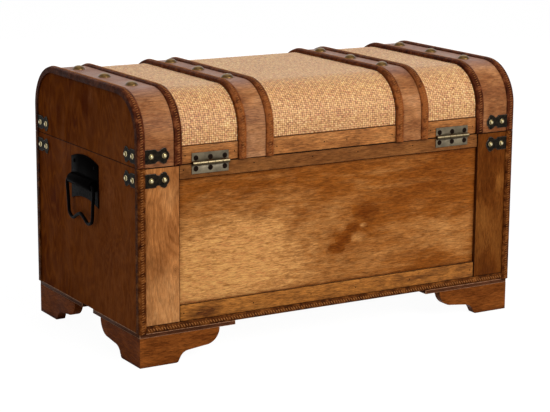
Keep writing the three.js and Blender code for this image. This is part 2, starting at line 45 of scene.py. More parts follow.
# Sizes in millimetres, the same as in the part's source
CHEST_HALF_LENGTH = 330
END_FACE = 327.8
BOX_HALF_LENGTH = 318.8
BOX_HALF_DEPTH = 171.2
BOX_TOP = 392.2
BOX_RADIUS = 60.2
CASE_BOTTOM = 50.5
TRIM_TOP = 60.5
CASE_TOP = 291.1
SEAM = 291.4
LID_BOTTOM = 291.7
LID_RAIL_TOP = 318.0
LID_SHELL_THICKNESS = 5
WEAVE_LEVEL = 1.6
BACKING_LEVEL = 2.4
BAND_LEVEL = 4.6
BEAD_EDGE_LEVEL = 5.4
BEAD_CROWN = 2.4
BEAD_WIDTH = 12.5
RAIL_FACE = 174.6
BAND_FACE = BOX_HALF_DEPTH + BAND_LEVEL
LIP_REACH = 6.6
LEATHER_BEVEL = 2
CORNER_INNER = CHEST_HALF_LENGTH - BEAD_WIDTH
END_STRAP_INNER = 259
MIDDLE_STRAP_INNER = 108.5
MIDDLE_STRAP_OUTER = 166.5
TRIM_EDGE_LEVEL = 4.6
TRIM_CROWN = 2

# Small metal pieces
BRACKET_THICKNESS = 1.2
BRACKET_HALF_HEIGHT = 10
LID_BRACKET_HEIGHT = 307.5
CASE_BRACKET_HEIGHT = 272.7
FACE_KNOB = 40.8
END_KNOB = 36.8
BRACKET_NAIL_PITCH = 21
KNOB_RADIUS = 8
LOBE_RADIUS = 4.2
LOBE_RISE = 7.3
NOTCH_RADIUS = 4.6
NOTCH_RISE = 11.6
NOTCH_SETBACK = 9.4
STRAP_NAIL_PITCH = 90
BRAD_SETBACK = 12
HINGE_CENTRE = 212.75
HINGE_WIDTH = 60
HINGE_REACH = 15.2
HINGE_AXIS_Y = 177.8
HINGE_LEAF_THICKNESS = 1.2
BARREL_RADIUS = 3
KNUCKLES = 5
SCREW_PITCH = 23.5
SCREW_RISE = 7.8
PLATE_THICKNESS = 1.6
HANDLE_PIVOT = 242
PLATE_HALF_WIDTH = 46.5
PLATE_HALF_HEIGHT = 32
PLATE_ARCH = 8
HOUSING_HALF_LENGTH = 39
HOUSING_HALF_HEIGHT = 9
HOUSING_REACH = 11.5
BAIL_STANDOFF = 7.2
BAIL_RADIUS = 2.5
SOCKET_DEPTH = 9.3
RIVET_SETBACK = 35.5
RIVET_RISE = 26.5
FIT_GAP = 0.3

# Feet
FOOT_HEIGHT = 44
FOOT_THICKNESS = 14
COVE_START = 63.5
COVE_RADIUS = 17
BULGE_RADIUS = 24
BULGE_END = 130.5
TOE_RADIUS = 5

LEFT, RIGHT = ("left", -1), ("right", 1)
FRONT, BACK = ("front", -1), ("back", 1)
ENDS = (LEFT, RIGHT)
WALLS = (FRONT, BACK)
CORNERS = [(wall + "_" + end, x, y) for wall, y in WALLS for end, x in ENDS]

# Heads that the Geometry Nodes copy, removed at the end
originals = []


class Shape:
    """Places in millimetres, and faces that each name a finish by its number."""

    def __init__(self, places, faces, finishes=None):
        self.places = [tuple(place) for place in places]
        self.faces = [tuple(face) for face in faces]
        self.finishes = list(finishes or [0] * len(self.faces))

    def mirrored(self, side_x=1, side_y=1):
        places = [(x * side_x, y * side_y, z) for x, y, z in self.places]
        turned = side_x * side_y < 0
        faces = [face[::-1] if turned else face for face in self.faces]
        return Shape(places, faces, self.finishes)


def linked(name, data):
    """An object of the scene that holds a mesh, a lamp or a camera."""
    piece = bpy.data.objects.new(name, data)
    bpy.context.scene.collection.objects.link(piece)
    return piece


def marks(mesh, name, values, kind="FLOAT"):
    """Gives each vertex a value, or each a direction."""
    layer = mesh.attributes.new(name, kind, "POINT")
    layer.data.foreach_set("vector" if kind == "FLOAT_VECTOR" else "value", values)


def shown(name, shape, *finishes):
    """An object made of a shape, with its finishes."""
    mesh = bpy.data.meshes.new(name)
    mesh.from_pydata([[c * MM for c in place] for place in shape.places], [], shape.faces)
    for finish in finishes:
        mesh.materials.append(finish)
    mesh.polygons.foreach_set("material_index", shape.finishes)
    return linked(name, mesh)


def solid(name, shape, *finishes):
    """A shape's object, its doubled vertices merged and its faces turned outwards."""
    piece = shown(name, shape, *finishes)
    edit = bmesh.new()
    edit.from_mesh(piece.data)
    bmesh.ops.remove_doubles(edit, verts=edit.verts, dist=MERGE_DISTANCE * MM)
    bmesh.ops.recalc_face_normals(edit, faces=edit.faces)
    edit.to_mesh(piece.data)
    edit.free()
    return piece


def settled(piece):
    """Keeps what a piece's modifiers make of it as a plain mesh."""
    seen = piece.evaluated_get(bpy.context.evaluated_depsgraph_get())
    mesh = bpy.data.meshes.new_from_object(seen)
    mesh.name = piece.name
    piece.modifiers.clear()
    piece.data = mesh
    return piece


def smoothed(piece, crease):
    """Shades a piece smooth, but for the edges that are sharper than the crease."""
    piece.data.shade_smooth()
    piece.data.set_sharp_from_angle(angle=math.radians(crease))
    return piece


def rounded(piece, width, sharp=35, edge_finish=-1):
    """Rounds a piece's edges by a width, and gives them one of its finishes."""
    bevel = piece.modifiers.new("rounded edges", "BEVEL")
    bevel.width = width * MM
    bevel.segments = 2
    bevel.limit_method = "ANGLE"
    bevel.angle_limit = math.radians(sharp)
    bevel.harden_normals = True
    bevel.material = edge_finish
    piece.data.shade_smooth()
    return settled(piece)


def cut(piece, shapes):
    """Cuts shapes out of a piece."""
    cutters = [solid("cutter", shape) for shape in shapes]
    for cutter in cutters:
        change = piece.modifiers.new("cut", "BOOLEAN")
        change.operation = "DIFFERENCE"
        change.object = cutter
        change.solver = "EXACT"
    settled(piece)
    for cutter in cutters:
        bpy.data.objects.remove(cutter)
    return piece


def placed(piece, body, slot, *nodes):
    """Makes a piece ride on its body and stand for its nodes."""
    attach(piece, body)
    if nodes:
        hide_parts(*nodes)
    return piece


def copied(node, name, *finishes):
    """A plain copy of a node's solid, its triangles merged into flat faces."""
    piece = linked(name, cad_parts[node].data.copy())
    piece.data.materials.clear()
    for finish in finishes:
        piece.data.materials.append(finish)
    edit = bmesh.new()
    edit.from_mesh(piece.data)
    for face in edit.faces:
        face.material_index = 0
    bmesh.ops.remove_doubles(edit, verts=edit.verts, dist=MERGE_DISTANCE * MM)
    bmesh.ops.dissolve_limit(
        edit, angle_limit=math.radians(0.5), verts=edit.verts, edges=edit.edges
    )
    edit.to_mesh(piece.data)
    edit.free()
    return piece


def arc(centre, radius, start, end, steps):
    """Places on a flat arc, its angles in degrees."""
    turns = [math.radians(start + (end - start) * i / steps) for i in range(steps + 1)]
    return [(centre[0] + radius * math.cos(t), centre[1] + radius * math.sin(t)) for t in turns]


def block(x, y, z):
    """A rectangular block between two values on each axis."""
    places = [(x[i], y[j], z[k]) for k in (0, 1) for j in (0, 1) for i in (0, 1)]
    faces = [
        (0, 2, 3, 1), (4, 5, 7, 6), (0, 1, 5, 4), (2, 6, 7, 3), (0, 4, 6, 2), (1, 3, 7, 5)
    ]
    return Shape(places, faces)


def prism(axis, outline, low, high):
    """An outline extruded along an axis, drawn in (Y, Z) for x, (Z, X) for y and (X, Y) for z."""
    order = {"x": (2, 0, 1), "y": (1, 2, 0), "z": (0, 1, 2)}[axis]
    places = []
    for depth in (low, high):
        for u, v in outline:
            place = (u, v, depth)
            places.append(tuple(place[i] for i in order))
    count = len(outline)
    sides = [(i, (i + 1) % count, count + (i + 1) % count, count + i) for i in range(count)]
    caps = [tuple(reversed(range(count))), tuple(range(count, 2 * count))]
    return Shape(places, sides + caps)


def ring_faces(rings, sides):
    """The faces between rings of places, each ring after the other."""
    return [(r * sides + i, r * sides + (i + 1) % sides, (r + 1) * sides + (i + 1) % sides,
             (r + 1) * sides + i) for r in range(rings - 1) for i in range(sides)]


def tube(places, rings, sides):
    """A closed shape of rings, with a cap at each end."""
    last = (rings - 1) * sides
    caps = [tuple(reversed(range(sides))), tuple(range(last, last + sides))]
    return Shape(places, ring_faces(rings, sides) + caps)


def bar(axis, centre, radius, low, high, sides=28):
    return prism(axis, arc(centre, radius, 0, 360 - 360 / sides, sides - 1), low, high)


def lid_path(low_end, spacing=4):
    """Places round the bare lid from back to front, with the direction away from the wood."""
    centre_y = BOX_HALF_DEPTH - BOX_RADIUS
    centre_z = BOX_TOP - BOX_RADIUS
    turns = round(math.pi / 2 * BOX_RADIUS / spacing)
    upright = max(1, round((centre_z - low_end) / spacing))
    flat = round(2 * centre_y / spacing)
    path = [(BOX_HALF_DEPTH, low_end + (centre_z - low_end) * i / upright, 1, 0)
            for i in range(upright)]
    for i in range(turns):
        angle = math.pi / 2 * i / turns
        ny, nz = math.cos(angle), math.sin(angle)
        path.append((centre_y + BOX_RADIUS * ny, centre_z + BOX_RADIUS * nz, ny, nz))
    half = [(centre_y * (1 - 2 * i / flat), BOX_TOP, 0, 1) for i in range(flat // 2 + flat % 2)]
    path += half
    middle = [(0, BOX_TOP, 0, 1)] if flat % 2 == 0 else []
    return path + middle + [(-y, z, -ny, nz) for y, z, ny, nz in reversed(path)]


def upright_path(low, high):
    steps = round((high - low) / 4)
    return [(BOX_HALF_DEPTH, low + (high - low) * i / steps, 1, 0) for i in range(steps + 1)]


def sweep(path, section):
    """A section of (x, level above the box), anticlockwise, carried along a path."""
    places = [(x, y + ny * level, z + nz * level)
              for y, z, ny, nz in path for x, level in section]
    return tube(places, len(path), len(section))


def rectangle(x0, x1, low, high):
    return [(x0, low), (x1, low), (x1, high), (x0, high)]


def crown(x0, x1, edge, rise):
    """The rounded top of a strip of leather, from its edge at the greater x to the other one."""
    middle, half = (x0 + x1) / 2, (x1 - x0) / 2
    turns = [math.pi * i / CROWN_STEPS for i in range(CROWN_STEPS + 1)]
    return [(middle + half * math.cos(t), edge + rise * math.sin(t)) for t in turns]


def bead(x0):
    return crown(x0, x0 + BEAD_WIDTH, BEAD_EDGE_LEVEL, BEAD_CROWN)


def srgb(colour):
    """Red, green and blue in steps of 255, as linear light."""
    def linear(step):
        value = step / 255
        return value / 12.92 if value <= 0.04045 else ((value + 0.055) / 1.055) ** 2.4
    return (*map(linear, colour), 1)


def add(tree, kind, sockets=None, **settings):
    """Adds a node. A socket's value is a number or colour, or another node's output."""
    made = tree.nodes.new(kind)
    for key, value in settings.items():
        setattr(made, key, value)
    for key, value in (sockets or {}).items():
        if isinstance(value, bpy.types.NodeSocket):
            tree.links.new(value, made.inputs[key])
        else:
            made.inputs[key].default_value = value
    return made


def sums(tree, operation, *values, clamp=False):
    made = add(tree, "ShaderNodeMath", dict(enumerate(values)), operation=operation)
    made.use_clamp = clamp
    return made.outputs[0]


def stops(tree, value, *places):
    """A colour ramp through (position, colour) pairs."""
    ramp = add(tree, "ShaderNodeValToRGB", {0: value})
    bands = ramp.color_ramp.elements
    while len(bands) < len(places):
        bands.new(0.5)
    for band, (position, colour) in zip(bands, places):
        band.position = position
        band.color = colour if isinstance(colour, tuple) else (colour, colour, colour, 1)
    return ramp.outputs["Color"]


def mixed(tree, share, first, second, blend="MIX"):
    sockets = {0: share, 6: first, 7: second}
    return add(tree, "ShaderNodeMix", sockets, data_type="RGBA", blend_type=blend).outputs[2]


def noise(tree, place, scale, detail, roughness=0.55, distortion=0):
    sockets = {"Vector": place, "Scale": scale, "Detail": detail,
               "Roughness": roughness, "Distortion": distortion}
    return add(tree, "ShaderNodeTexNoise", sockets).outputs["Fac"]


def stretched(tree, scale, shift=(0, 0, 0)):
    """The piece's own coordinates, stretched and moved for a pattern."""
    where = add(tree, "ShaderNodeTexCoord").outputs["Object"]
    sockets = {"Vector": where, "Scale": scale, "Location": shift}
    return add(tree, "ShaderNodeMapping", sockets).outputs[0]


def emptied_tree(holder):
    """The node tree of a material or a world, with nothing in it."""
    holder.use_nodes = True
    holder.node_tree.nodes.clear()
    return holder.node_tree


def finish(name, build, metallic=0, specular=0.5, sheen=0):
    """A material whose build function gives its colour, roughness, height and bump."""
    material = bpy.data.materials.new(name)
    tree = emptied_tree(material)
    colour, roughness, height, strength = build(tree)
    bump = add(tree, "ShaderNodeBump", {"Height": height, "Distance": 0.001,
                                        "Strength": strength})
    shader = add(tree, "ShaderNodeBsdfPrincipled", {
        "Base Color": colour, "Roughness": roughness, "Normal": bump.outputs[0],
        "Metallic": metallic, "Specular IOR Level": specular, "Sheen Weight": sheen})
    add(tree, "ShaderNodeOutputMaterial", {"Surface": shader.outputs[0]})
    return material


def place_along(tree, axis):
    """How far along an axis of the frame a point lies, in metres."""
    place = add(tree, "ShaderNodeSeparateXYZ", {"Vector": stretched(tree, (1, 1, 1))})
    return place.outputs[axis]


def along_grain(grain, stretch):
    """How much a pattern is drawn out along one axis."""
    return tuple(1 if axis == grain else stretch for axis in "xyz")


def ball_at(tree, drift, place, radius, grain):
    """1 at a place, falling softly to 0 at the radius and further along the grain."""
    scale = tuple((0.65 if axis == grain else 1.1) / radius for axis in "xyz")
    shift = tuple(-c * size for c, size in zip(place, scale))
    own = stretched(tree, scale, shift)
    pushed = add(tree, "ShaderNodeVectorMath", {0: drift, 1: (1.1,) * 3, 2: own},
                 operation="MULTIPLY_ADD").outputs[0]
    return add(tree, "ShaderNodeTexGradient", {"Vector": pushed},
               gradient_type="SPHERICAL").outputs["Fac"]


def summed_tones(tree, drift, grain, tones):
    """The sum of soft balls, each (x, y, z, radius, amount)."""
    total = 0.0
    for *place, radius, amount in tones:
        ball = ball_at(tree, drift, place, radius, grain)
        total = sums(tree, "MULTIPLY_ADD", ball, amount, total)
    return total


def round_knots(tree, drift, grain, knots, field):
    """A field that rises round each knot (x, y, z, radius), and 1 at the knots' hearts."""
    heart = 0.0
    for *place, radius in knots:
        ball = ball_at(tree, drift, place, radius, grain)
        field = sums(tree, "MULTIPLY_ADD", ball, 0.3, field)
        heart = sums(tree, "MAXIMUM", heart, ball)
    return field, heart


def with_painted_corner_shade(tree, colour, dark):
    """A colour darkened by painted shade in corners and between parts, where the occlusion is high.
    """
    corner = add(tree, "ShaderNodeAmbientOcclusion", {"Distance": 0.009}, samples=6)
    corner_shade_mask = stops(tree, corner.outputs["AO"], (0.45, 1.0), (0.95, 0.0))
    return mixed(tree, sums(tree, "MULTIPLY", corner_shade_mask, 0.75), colour, dark, "MULTIPLY")


def wood(name, grain, dark, middle, light, seed, blotch=0.5, flecks=0.45, tones=(), knots=(),
         figure=0.3, rough=0.42, specular=0.09, fibre=0.95, knot_depth=0.4, spread=1.0,
         vein=None, painted_top_sheen=None):
    """Stained and varnished wood whose grain runs along an axis.

    Tones, in metres, are pale where their amount is above 0 and dark where it is below, and the
    wood's lines run round the knots. A vein colours the lines, and a painted top sheen tints the
    wood on top of the lid as a painted reflection.
    """
    dark, middle, light = srgb(dark), srgb(middle), srgb(light)
    vein = srgb(vein) if vein else dark
    shift = (seed * 0.37, seed * 0.61, seed * 0.83)

    def build(tree):
        def pattern(stretch, *settings):
            return noise(tree, stretched(tree, along_grain(grain, stretch), shift), *settings)

        bend = add(tree, "ShaderNodeTexNoise", {
            "Vector": stretched(tree, along_grain(grain, 2), shift), "Scale": 20.0, "Detail": 6.0,
            "Roughness": 0.6})
        drift = add(tree, "ShaderNodeVectorMath", {0: bend.outputs["Color"], 1: (0.5,) * 3},
                    operation="SUBTRACT").outputs[0]
        streak = pattern(7, 11, 5, 0.62, 0.2)
        cloud = pattern(1.6, 13, 5, 0.6, 0.4)
        flow = sums(tree, "MULTIPLY_ADD", cloud, blotch,
                    sums(tree, "MULTIPLY", streak, 1 - blotch))
        flow = sums(tree, "MULTIPLY_ADD", flow, spread, 0.5 * (1 - spread))
        body = stops(tree, flow, (0.34, dark), (0.5, middle), (0.82, light))
        uneven = sums(tree, "MULTIPLY_ADD", pattern(3.5, 55, 4, 0.65, 0.4), 3.2, -0.6)
        tone = sums(tree, "MULTIPLY", summed_tones(tree, drift, grain, tones),
                    sums(tree, "MAXIMUM", uneven, 0.3))
        field, heart = round_knots(tree, drift, grain, knots, pattern(3, 4.5, 3, 0.5, 0.3))
        rings = sums(tree, "PINGPONG", sums(tree, "MULTIPLY", field, 15), 0.5)
        lines = stops(tree, rings, (0.0, 1.0), (0.3, 0.0))
        share = sums(tree, "MULTIPLY_ADD", heart, 0.5, figure)
        body = mixed(tree, sums(tree, "MULTIPLY", lines, share, clamp=True), body, vein)
        body = mixed(tree, stops(tree, heart, (0.25, 0.0), (0.8, knot_depth)), body, dark)
        body = mixed(tree, sums(tree, "MAXIMUM", tone, 0.0, clamp=True), body, light)
        body = mixed(tree, sums(tree, "MULTIPLY", tone, -1.0, clamp=True), body, dark)
        # Painted reflection: a mauve-grey tint across the top of the lid
        if painted_top_sheen:
            on_top = stops(tree, place_along(tree, "Z"), (0.386, 0.0), (0.396, 0.6))
            body = mixed(tree, on_top, body, srgb(painted_top_sheen))
        dashes = stops(tree, pattern(11, 95, 3, 0.7), (0.36, 1.0), (0.5, 0.0))
        speckled = mixed(tree, sums(tree, "MULTIPLY", dashes, flecks), body, dark, "MULTIPLY")
        fine = pattern(9, 90, 3, 0.75)
        grained = mixed(tree, fibre, speckled,
                        stops(tree, fine, (0.36, 0.2), (0.64, 0.8)), "OVERLAY")
        gloss = noise(tree, stretched(tree, (1, 1, 1), shift), 26, 4)
        polish = stops(tree, gloss, (0.3, rough - 0.06), (0.7, rough + 0.1))
        height = sums(tree, "MULTIPLY_ADD", dashes, -0.6, sums(tree, "MULTIPLY", fine, 0.4))
        # Darkened in corners and between parts by painted shade
        return with_painted_corner_shade(tree, grained, dark), polish, height, 0.14

    return finish(name, build, specular=specular)


def leather(name, dark, middle, light, seed=0, painted_lit_side=None, lip_painted_shade=None):
    """Stained leather with a fine grain.

    A painted light colour shows in patches on the upright sides, below the lid's shoulders, where
    the lamp falls on them more than on top, and a darker lip colour of painted shade where the
    leather is turned over the ends.
    """
    dark, middle, light = srgb(dark), srgb(middle), srgb(light)

    def build(tree):
        plain = stretched(tree, (1, 1, 1), (seed, seed * 0.7, seed * 0.3))
        cloud = noise(tree, plain, 90, 4, 0.7, 0.3)
        body = stops(tree, cloud, (0.34, dark), (0.52, middle), (0.7, light))
        # Painted light: the upright sides below the shoulders take a paler colour, in patches,
        # where the lamp falls on them more than on top
        if painted_lit_side:
            side = stops(tree, place_along(tree, "Z"), (0.365, 1.0), (0.405, 0.0))
            patchy_painted_light = stops(tree, noise(tree, plain, 150, 3, 0.6), (0.38, 0.2), (0.56, 0.9))
            body = mixed(tree, sums(tree, "MULTIPLY", side, patchy_painted_light), body, srgb(painted_lit_side))
        # Painted shade: a darker colour on the leather turned over the ends, which face away from
        # the lamp
        if lip_painted_shade:
            reach = sums(tree, "ABSOLUTE", place_along(tree, "X"))
            body = mixed(tree, stops(tree, reach, (0.328, 0.0), (0.3315, 0.8)), body, srgb(lip_painted_shade))
        grain = add(tree, "ShaderNodeTexVoronoi", {"Vector": plain, "Scale": 900},
                    feature="DISTANCE_TO_EDGE").outputs["Distance"]
        creases = stops(tree, grain, (0.0, 0.0), (0.12, 1.0))
        colour = mixed(tree, 0.35, body, mixed(tree, creases, dark, body))
        polish = stops(tree, noise(tree, plain, 60, 4), (0.3, 0.32), (0.7, 0.5))
        return colour, polish, creases, 0.3
    return finish(name, build, specular=0.014)


def woven(name, dark, middle, light):
    """Twisted rush whose colour follows its height: brown in the holes, partly its own colour and
    partly painted shade, and pale on the floats, partly painted highlight; with fibres along the
    strands.
    """
    def build(tree):
        plain = stretched(tree, (1, 1, 1))
        fibres = noise(tree, stretched(tree, (700, 240, 240)), 1, 4, 0.7)
        tufts = noise(tree, plain, 260, 3, 0.6)
        cloud = noise(tree, plain, 14, 3)
        depth = add(tree, "ShaderNodeAttribute", attribute_name="height").outputs["Fac"]
        # Colour by height: holes darkened and floats paled, partly painted shade and highlight
        body = stops(tree, depth, (0.1, srgb(dark)), (0.36, srgb(middle)), (0.95, srgb(light)))
        toned = mixed(tree, 0.5, body, stops(tree, fibres, (0.3, 0.25), (0.7, 0.75)), "OVERLAY")
        toned = mixed(tree, 0.7, toned, stops(tree, tufts, (0.36, 0.2), (0.64, 0.8)), "OVERLAY")
        colour = mixed(tree, 0.3, toned, stops(tree, cloud, (0.35, 0.4), (0.65, 0.62)), "OVERLAY")
        return colour, 0.5, fibres, 0.5
    return finish(name, build, specular=0.4, sheen=0.2)


def plain_finish(name, dark, light, metallic, rough, scale=120, seed=0, specular=0.5):
    """Metal, thread, or an edge paler with wear and painted highlight, stained a little unevenly.
    """
    def build(tree):
        plain = stretched(tree, (1, 1, 1), (seed, seed * 0.4, seed * 0.9))
        stain = noise(tree, plain, scale, 5, 0.65)
        colour = stops(tree, stain, (0.36, srgb(dark)), (0.62, srgb(light)))
        polish = stops(tree, noise(tree, plain, scale * 2.5, 3),
                       (0.3, rough - 0.08), (0.7, rough + 0.12))
        return colour, polish, stain, 0.15
    return finish(name, build, metallic=metallic, specular=specular)


def brass_with_painted_glint(name, patina_and_painted_shade, middle, bright, rough):
    """Brass coloured by a share marked on each vertex: painted highlight and reflection where it is
    high, and darker where it is low, partly patina and partly painted shade.
    """
    def build(tree):
        plain = stretched(tree, (1, 1, 1))
        # The polish share is a painted glint, with stain noise mixed in
        rubbed = add(tree, "ShaderNodeAttribute", attribute_name="polish").outputs["Fac"]
        stain = noise(tree, plain, 420, 4, 0.65)
        patchy_painted_light = sums(tree, "MULTIPLY_ADD", sums(tree, "SUBTRACT", stain, 0.5), 0.3, rubbed)
        colour = stops(tree, patchy_painted_light, (0.1, srgb(patina_and_painted_shade)), (0.65, srgb(middle)),
                       (0.98, srgb(bright)))
        return colour, rough, stain, 0.1
    return finish(name, build, metallic=0.9)


# The large pale tones towards +X and dark tones towards -X are partly painted light and shade,
# where the lamp falls off along the back, and partly the stain's own patches; the small dark tones
# near the middle are a gnarl in the grain
panel_wood = wood(
    "varnished panel", "x", (112, 54, 9), (146, 82, 26), (218, 156, 90), seed=1, blotch=0.3,
    specular=0.04, fibre=0.6, spread=0.6,
    tones=((0.19, 0.17, 0.16, 0.13, 0.9), (0.13, 0.17, 0.11, 0.11, 0.7),
           (0.24, 0.17, 0.09, 0.07, 0.55), (0.24, 0.17, 0.25, 0.06, -0.3),
           (0.14, 0.17, 0.245, 0.06, -0.2), (-0.2, 0.17, 0.145, 0.07, 0.45),
           (-0.06, 0.17, 0.105, 0.06, 0.3), (0.0, 0.17, 0.19, 0.03, 0.4),
           (-0.2, 0.17, 0.215, 0.07, -0.45), (-0.19, 0.17, 0.098, 0.03, -0.4),
           (-0.13, 0.17, 0.2, 0.05, -0.3), (-0.2, 0.17, 0.27, 0.07, -0.45),
           (-0.06, 0.17, 0.188, 0.018, -1.3), (-0.052, 0.17, 0.204, 0.014, -0.5),
           (-0.036, 0.17, 0.166, 0.01, -1.1), (-0.014, 0.17, 0.143, 0.006, -0.9),
           (-0.021, 0.17, 0.15, 0.011, -1.3), (-0.007, 0.17, 0.136, 0.011, -0.6),
           (0.003, 0.17, 0.118, 0.008, -0.4), (-0.045, 0.17, 0.15, 0.012, 0.5),
           (-0.054, 0.17, 0.168, 0.006, 0.7), (-0.17, -0.17, 0.16, 0.13, 0.8),
           (0.15, -0.17, 0.12, 0.1, 0.5), (0.02, -0.17, 0.24, 0.07, -0.3),
           (0.06, -0.17, 0.17, 0.03, 0.3)),
    knots=((-0.032, 0.17, 0.16, 0.028), (-0.012, 0.17, 0.138, 0.022)))
end_wood = wood(
    "varnished end board", "z", (94, 38, 5), (116, 55, 11), (150, 86, 46), seed=2, blotch=0.97,
    specular=0.003, rough=0.5, figure=0.6, fibre=0.3, flecks=0.15, vein=(150, 78, 22),
    knot_depth=0.5,
    tones=((0.33, 0.12, 0.1, 0.26, 0.6), (0.33, 0.08, 0.245, 0.03, 0.5),
           (0.33, -0.1, 0.36, 0.16, -0.15), (0.33, 0.022, 0.3725, 0.012, 0.8),
           (-0.33, -0.05, 0.15, 0.2, 0.4)),
    knots=((0.33, 0.075, 0.205, 0.05), (-0.33, -0.06, 0.12, 0.05)))
rail_wood = wood(
    "varnished rail", "x", (99, 52, 18), (136, 84, 40), (172, 114, 62), seed=3, figure=0.4,
    specular=0.06, spread=0.7, fibre=0.5)
low_rail_wood = wood(
    "varnished low rail", "x", (100, 54, 17), (172, 108, 45), (200, 138, 68), seed=10, fibre=0.75,
    tones=((0.216, 0.175, 0.07, 0.014, -1.3), (0.232, 0.175, 0.07, 0.014, -0.7),
           (-0.25, 0.175, 0.06, 0.08, -0.3)))
lid_rail_wood = wood(
    "varnished lid rail", "x", (122, 70, 30), (178, 114, 60), (204, 144, 84), seed=11, fibre=0.7,
    tones=((0.2, 0.175, 0.305, 0.06, -0.4), (-0.24, 0.175, 0.305, 0.05, -0.4)))
stile_wood = wood(
    "varnished stile", "z", (102, 51, 14), (182, 116, 62), (226, 168, 108), seed=4, blotch=0.85,
    figure=0.4, spread=0.6, specular=0.02, fibre=0.45, flecks=0.25,
    tones=((0.28, 0.175, 0.08, 0.08, 0.4), (0.28, 0.175, 0.17, 0.05, -0.15),
           (0.28, 0.175, 0.25, 0.02, 0.2)),
    knots=((0.27, 0.175, 0.138, 0.007), (0.29, -0.175, 0.2, 0.016)))
# A darker copy of the stile wood for the far stile at the back: painted shade where the lamp falls
# off along the back
shaded_stile_wood = wood(
    "dark varnished stile", "z", (84, 39, 8), (110, 58, 17), (150, 92, 38), seed=13, blotch=0.7,
    figure=0.5, spread=0.7, specular=0.02, fibre=0.5, flecks=0.25, knot_depth=0.7,
    tones=((-0.309, 0.175, 0.211, 0.014, 0.9), (-0.285, 0.175, 0.2, 0.022, -1.0),
           (-0.285, 0.175, 0.25, 0.03, -0.9), (-0.29, 0.175, 0.12, 0.05, 0.5),
           (-0.275, 0.175, 0.16, 0.02, 0.4), (-0.29, 0.175, 0.07, 0.03, -0.6)),
    knots=((-0.295, 0.175, 0.211, 0.012), (-0.285, 0.175, 0.112, 0.014)))
# The tones at z 0.42 darken the top of every band as painted shade, and the top sheen tints it as a
# painted reflection
band_wood = wood(
    "varnished strap band", "x", (116, 62, 27), (175, 117, 71), (214, 163, 118), seed=5,
    blotch=0.7, figure=0.4, rough=0.4, specular=0.1, fibre=0.6, flecks=0.3, painted_top_sheen=(150, 112, 100),
    tones=((0.3, 0.17, 0.355, 0.035, -0.65), (0.3, 0.15, 0.385, 0.03, -0.75),
           (0.1, 0.15, 0.385, 0.03, -0.3), (-0.3, 0.17, 0.295, 0.05, -0.9),
           (0.3, 0.17, 0.3, 0.03, 0.15), (0.1, 0.12, 0.4, 0.05, -0.3), (0.1, 0.17, 0.3, 0.1, 0.3),
           (0.3, -0.03, 0.42, 0.15, -0.5), (0.1, -0.03, 0.42, 0.13, -0.4),
           (-0.1, -0.03, 0.42, 0.13, -0.4), (-0.3, -0.03, 0.42, 0.13, -0.4)))
foot_wood_x = wood(
    "stained foot board along x", "x", (94, 45, 13), (134, 73, 27), (160, 92, 40), seed=6,
    specular=0.02, fibre=0.6)
foot_wood_y = wood(
    "stained foot board along y", "y", (96, 43, 14), (134, 68, 26), (158, 86, 36), seed=7,
    specular=0.01, fibre=0.6)
plate_wood = wood(
    "stained foot plate", "x", (58, 30, 16), (90, 52, 32), (116, 72, 46), seed=12, specular=0.02,
    fibre=0.6)
joint_stain = wood("dark joint", "x", (36, 16, 5), (50, 24, 8), (66, 34, 12), seed=9, specular=0.02)
inner_wood = wood(
    "bare plywood", "x", (178, 138, 92), (196, 158, 112), (210, 176, 130), seed=8, rough=0.6)
corner_hide = leather("corner leather", (44, 16, 4), (96, 48, 15), (152, 92, 42))
# The strap leather's last colour is painted light on its upright sides
strap_hide = leather("strap leather", (50, 19, 10), (92, 44, 22), (142, 82, 46), 3, (158, 90, 43))
# The end strap leather is darker on its lip over the ends, painted shade
end_strap_hide = leather(
    "end strap leather", (48, 19, 10), (90, 43, 22), (140, 80, 46), 3, lip_painted_shade=(62, 27, 15))
trim_hide = leather("trim leather", (42, 17, 6), (92, 48, 17), (146, 88, 38), 6)
rush = woven("woven cover", (112, 62, 20), (204, 146, 85), (240, 194, 141))
black_iron = plain_finish("blackened iron", (3, 2, 2), (8, 5, 5), 0, 0.36, specular=0.005)
bracket_iron = plain_finish(
    "blackened bracket", (12, 10, 8), (40, 34, 26), 0, 0.4, 260, specular=0.02)
# Iron's rounded edges, paler with wear and with a painted highlight
iron_edge_wear_and_painted_highlight = plain_finish(
    "rubbed iron edge", (34, 30, 26), (112, 104, 94), 0.3, 0.4, 300, specular=0.2)
bail_iron = plain_finish("blackened bail", (3, 2, 2), (10, 7, 8), 0, 0.34, seed=2, specular=0.015)
# Brass heads whose colour takes the painted glint marked on each head
nail_brass = brass_with_painted_glint("antique brass", (44, 27, 12), (116, 88, 46), (180, 152, 104), 0.3)
dome_brass_painted_glint = brass_with_painted_glint("bright brass dome", (34, 26, 14), (104, 88, 50), (214, 200, 158), 0.16)
hinge_brass = plain_finish("grey brass leaf", (80, 70, 52), (110, 98, 76), 0.5, 0.42, 60)
# The barrels' brass takes a painted highlight along the crest
barrel_brass = brass_with_painted_glint(
    "rubbed brass barrel", (70, 58, 38), (116, 102, 72), (186, 166, 128), 0.36)
screw_iron = plain_finish("dark screw", (14, 8, 4), (34, 20, 12), 0, 0.4, 400, specular=0.03)
thread = plain_finish("waxed thread", (116, 66, 28), (176, 114, 58), 0, 0.6, 900, specular=0.1)
trim_thread = plain_finish(
    "pale waxed thread", (116, 64, 26), (184, 122, 64), 0, 0.6, 900, specular=0.1)
# Painted highlight along the foot plates' rounded edges, where they catch the lamp
plate_edge_painted_highlight = plain_finish(
    "rubbed plate edge", (150, 98, 64), (206, 154, 116), 0, 0.5, 160, specular=0.05)


def input_number(tree, name):
    """The identifier of a tree's input, by which a modifier's value is set."""
    return next(s.identifier for s in tree.interface.items_tree
                if s.item_type == "SOCKET" and s.in_out == "INPUT" and s.name == name)


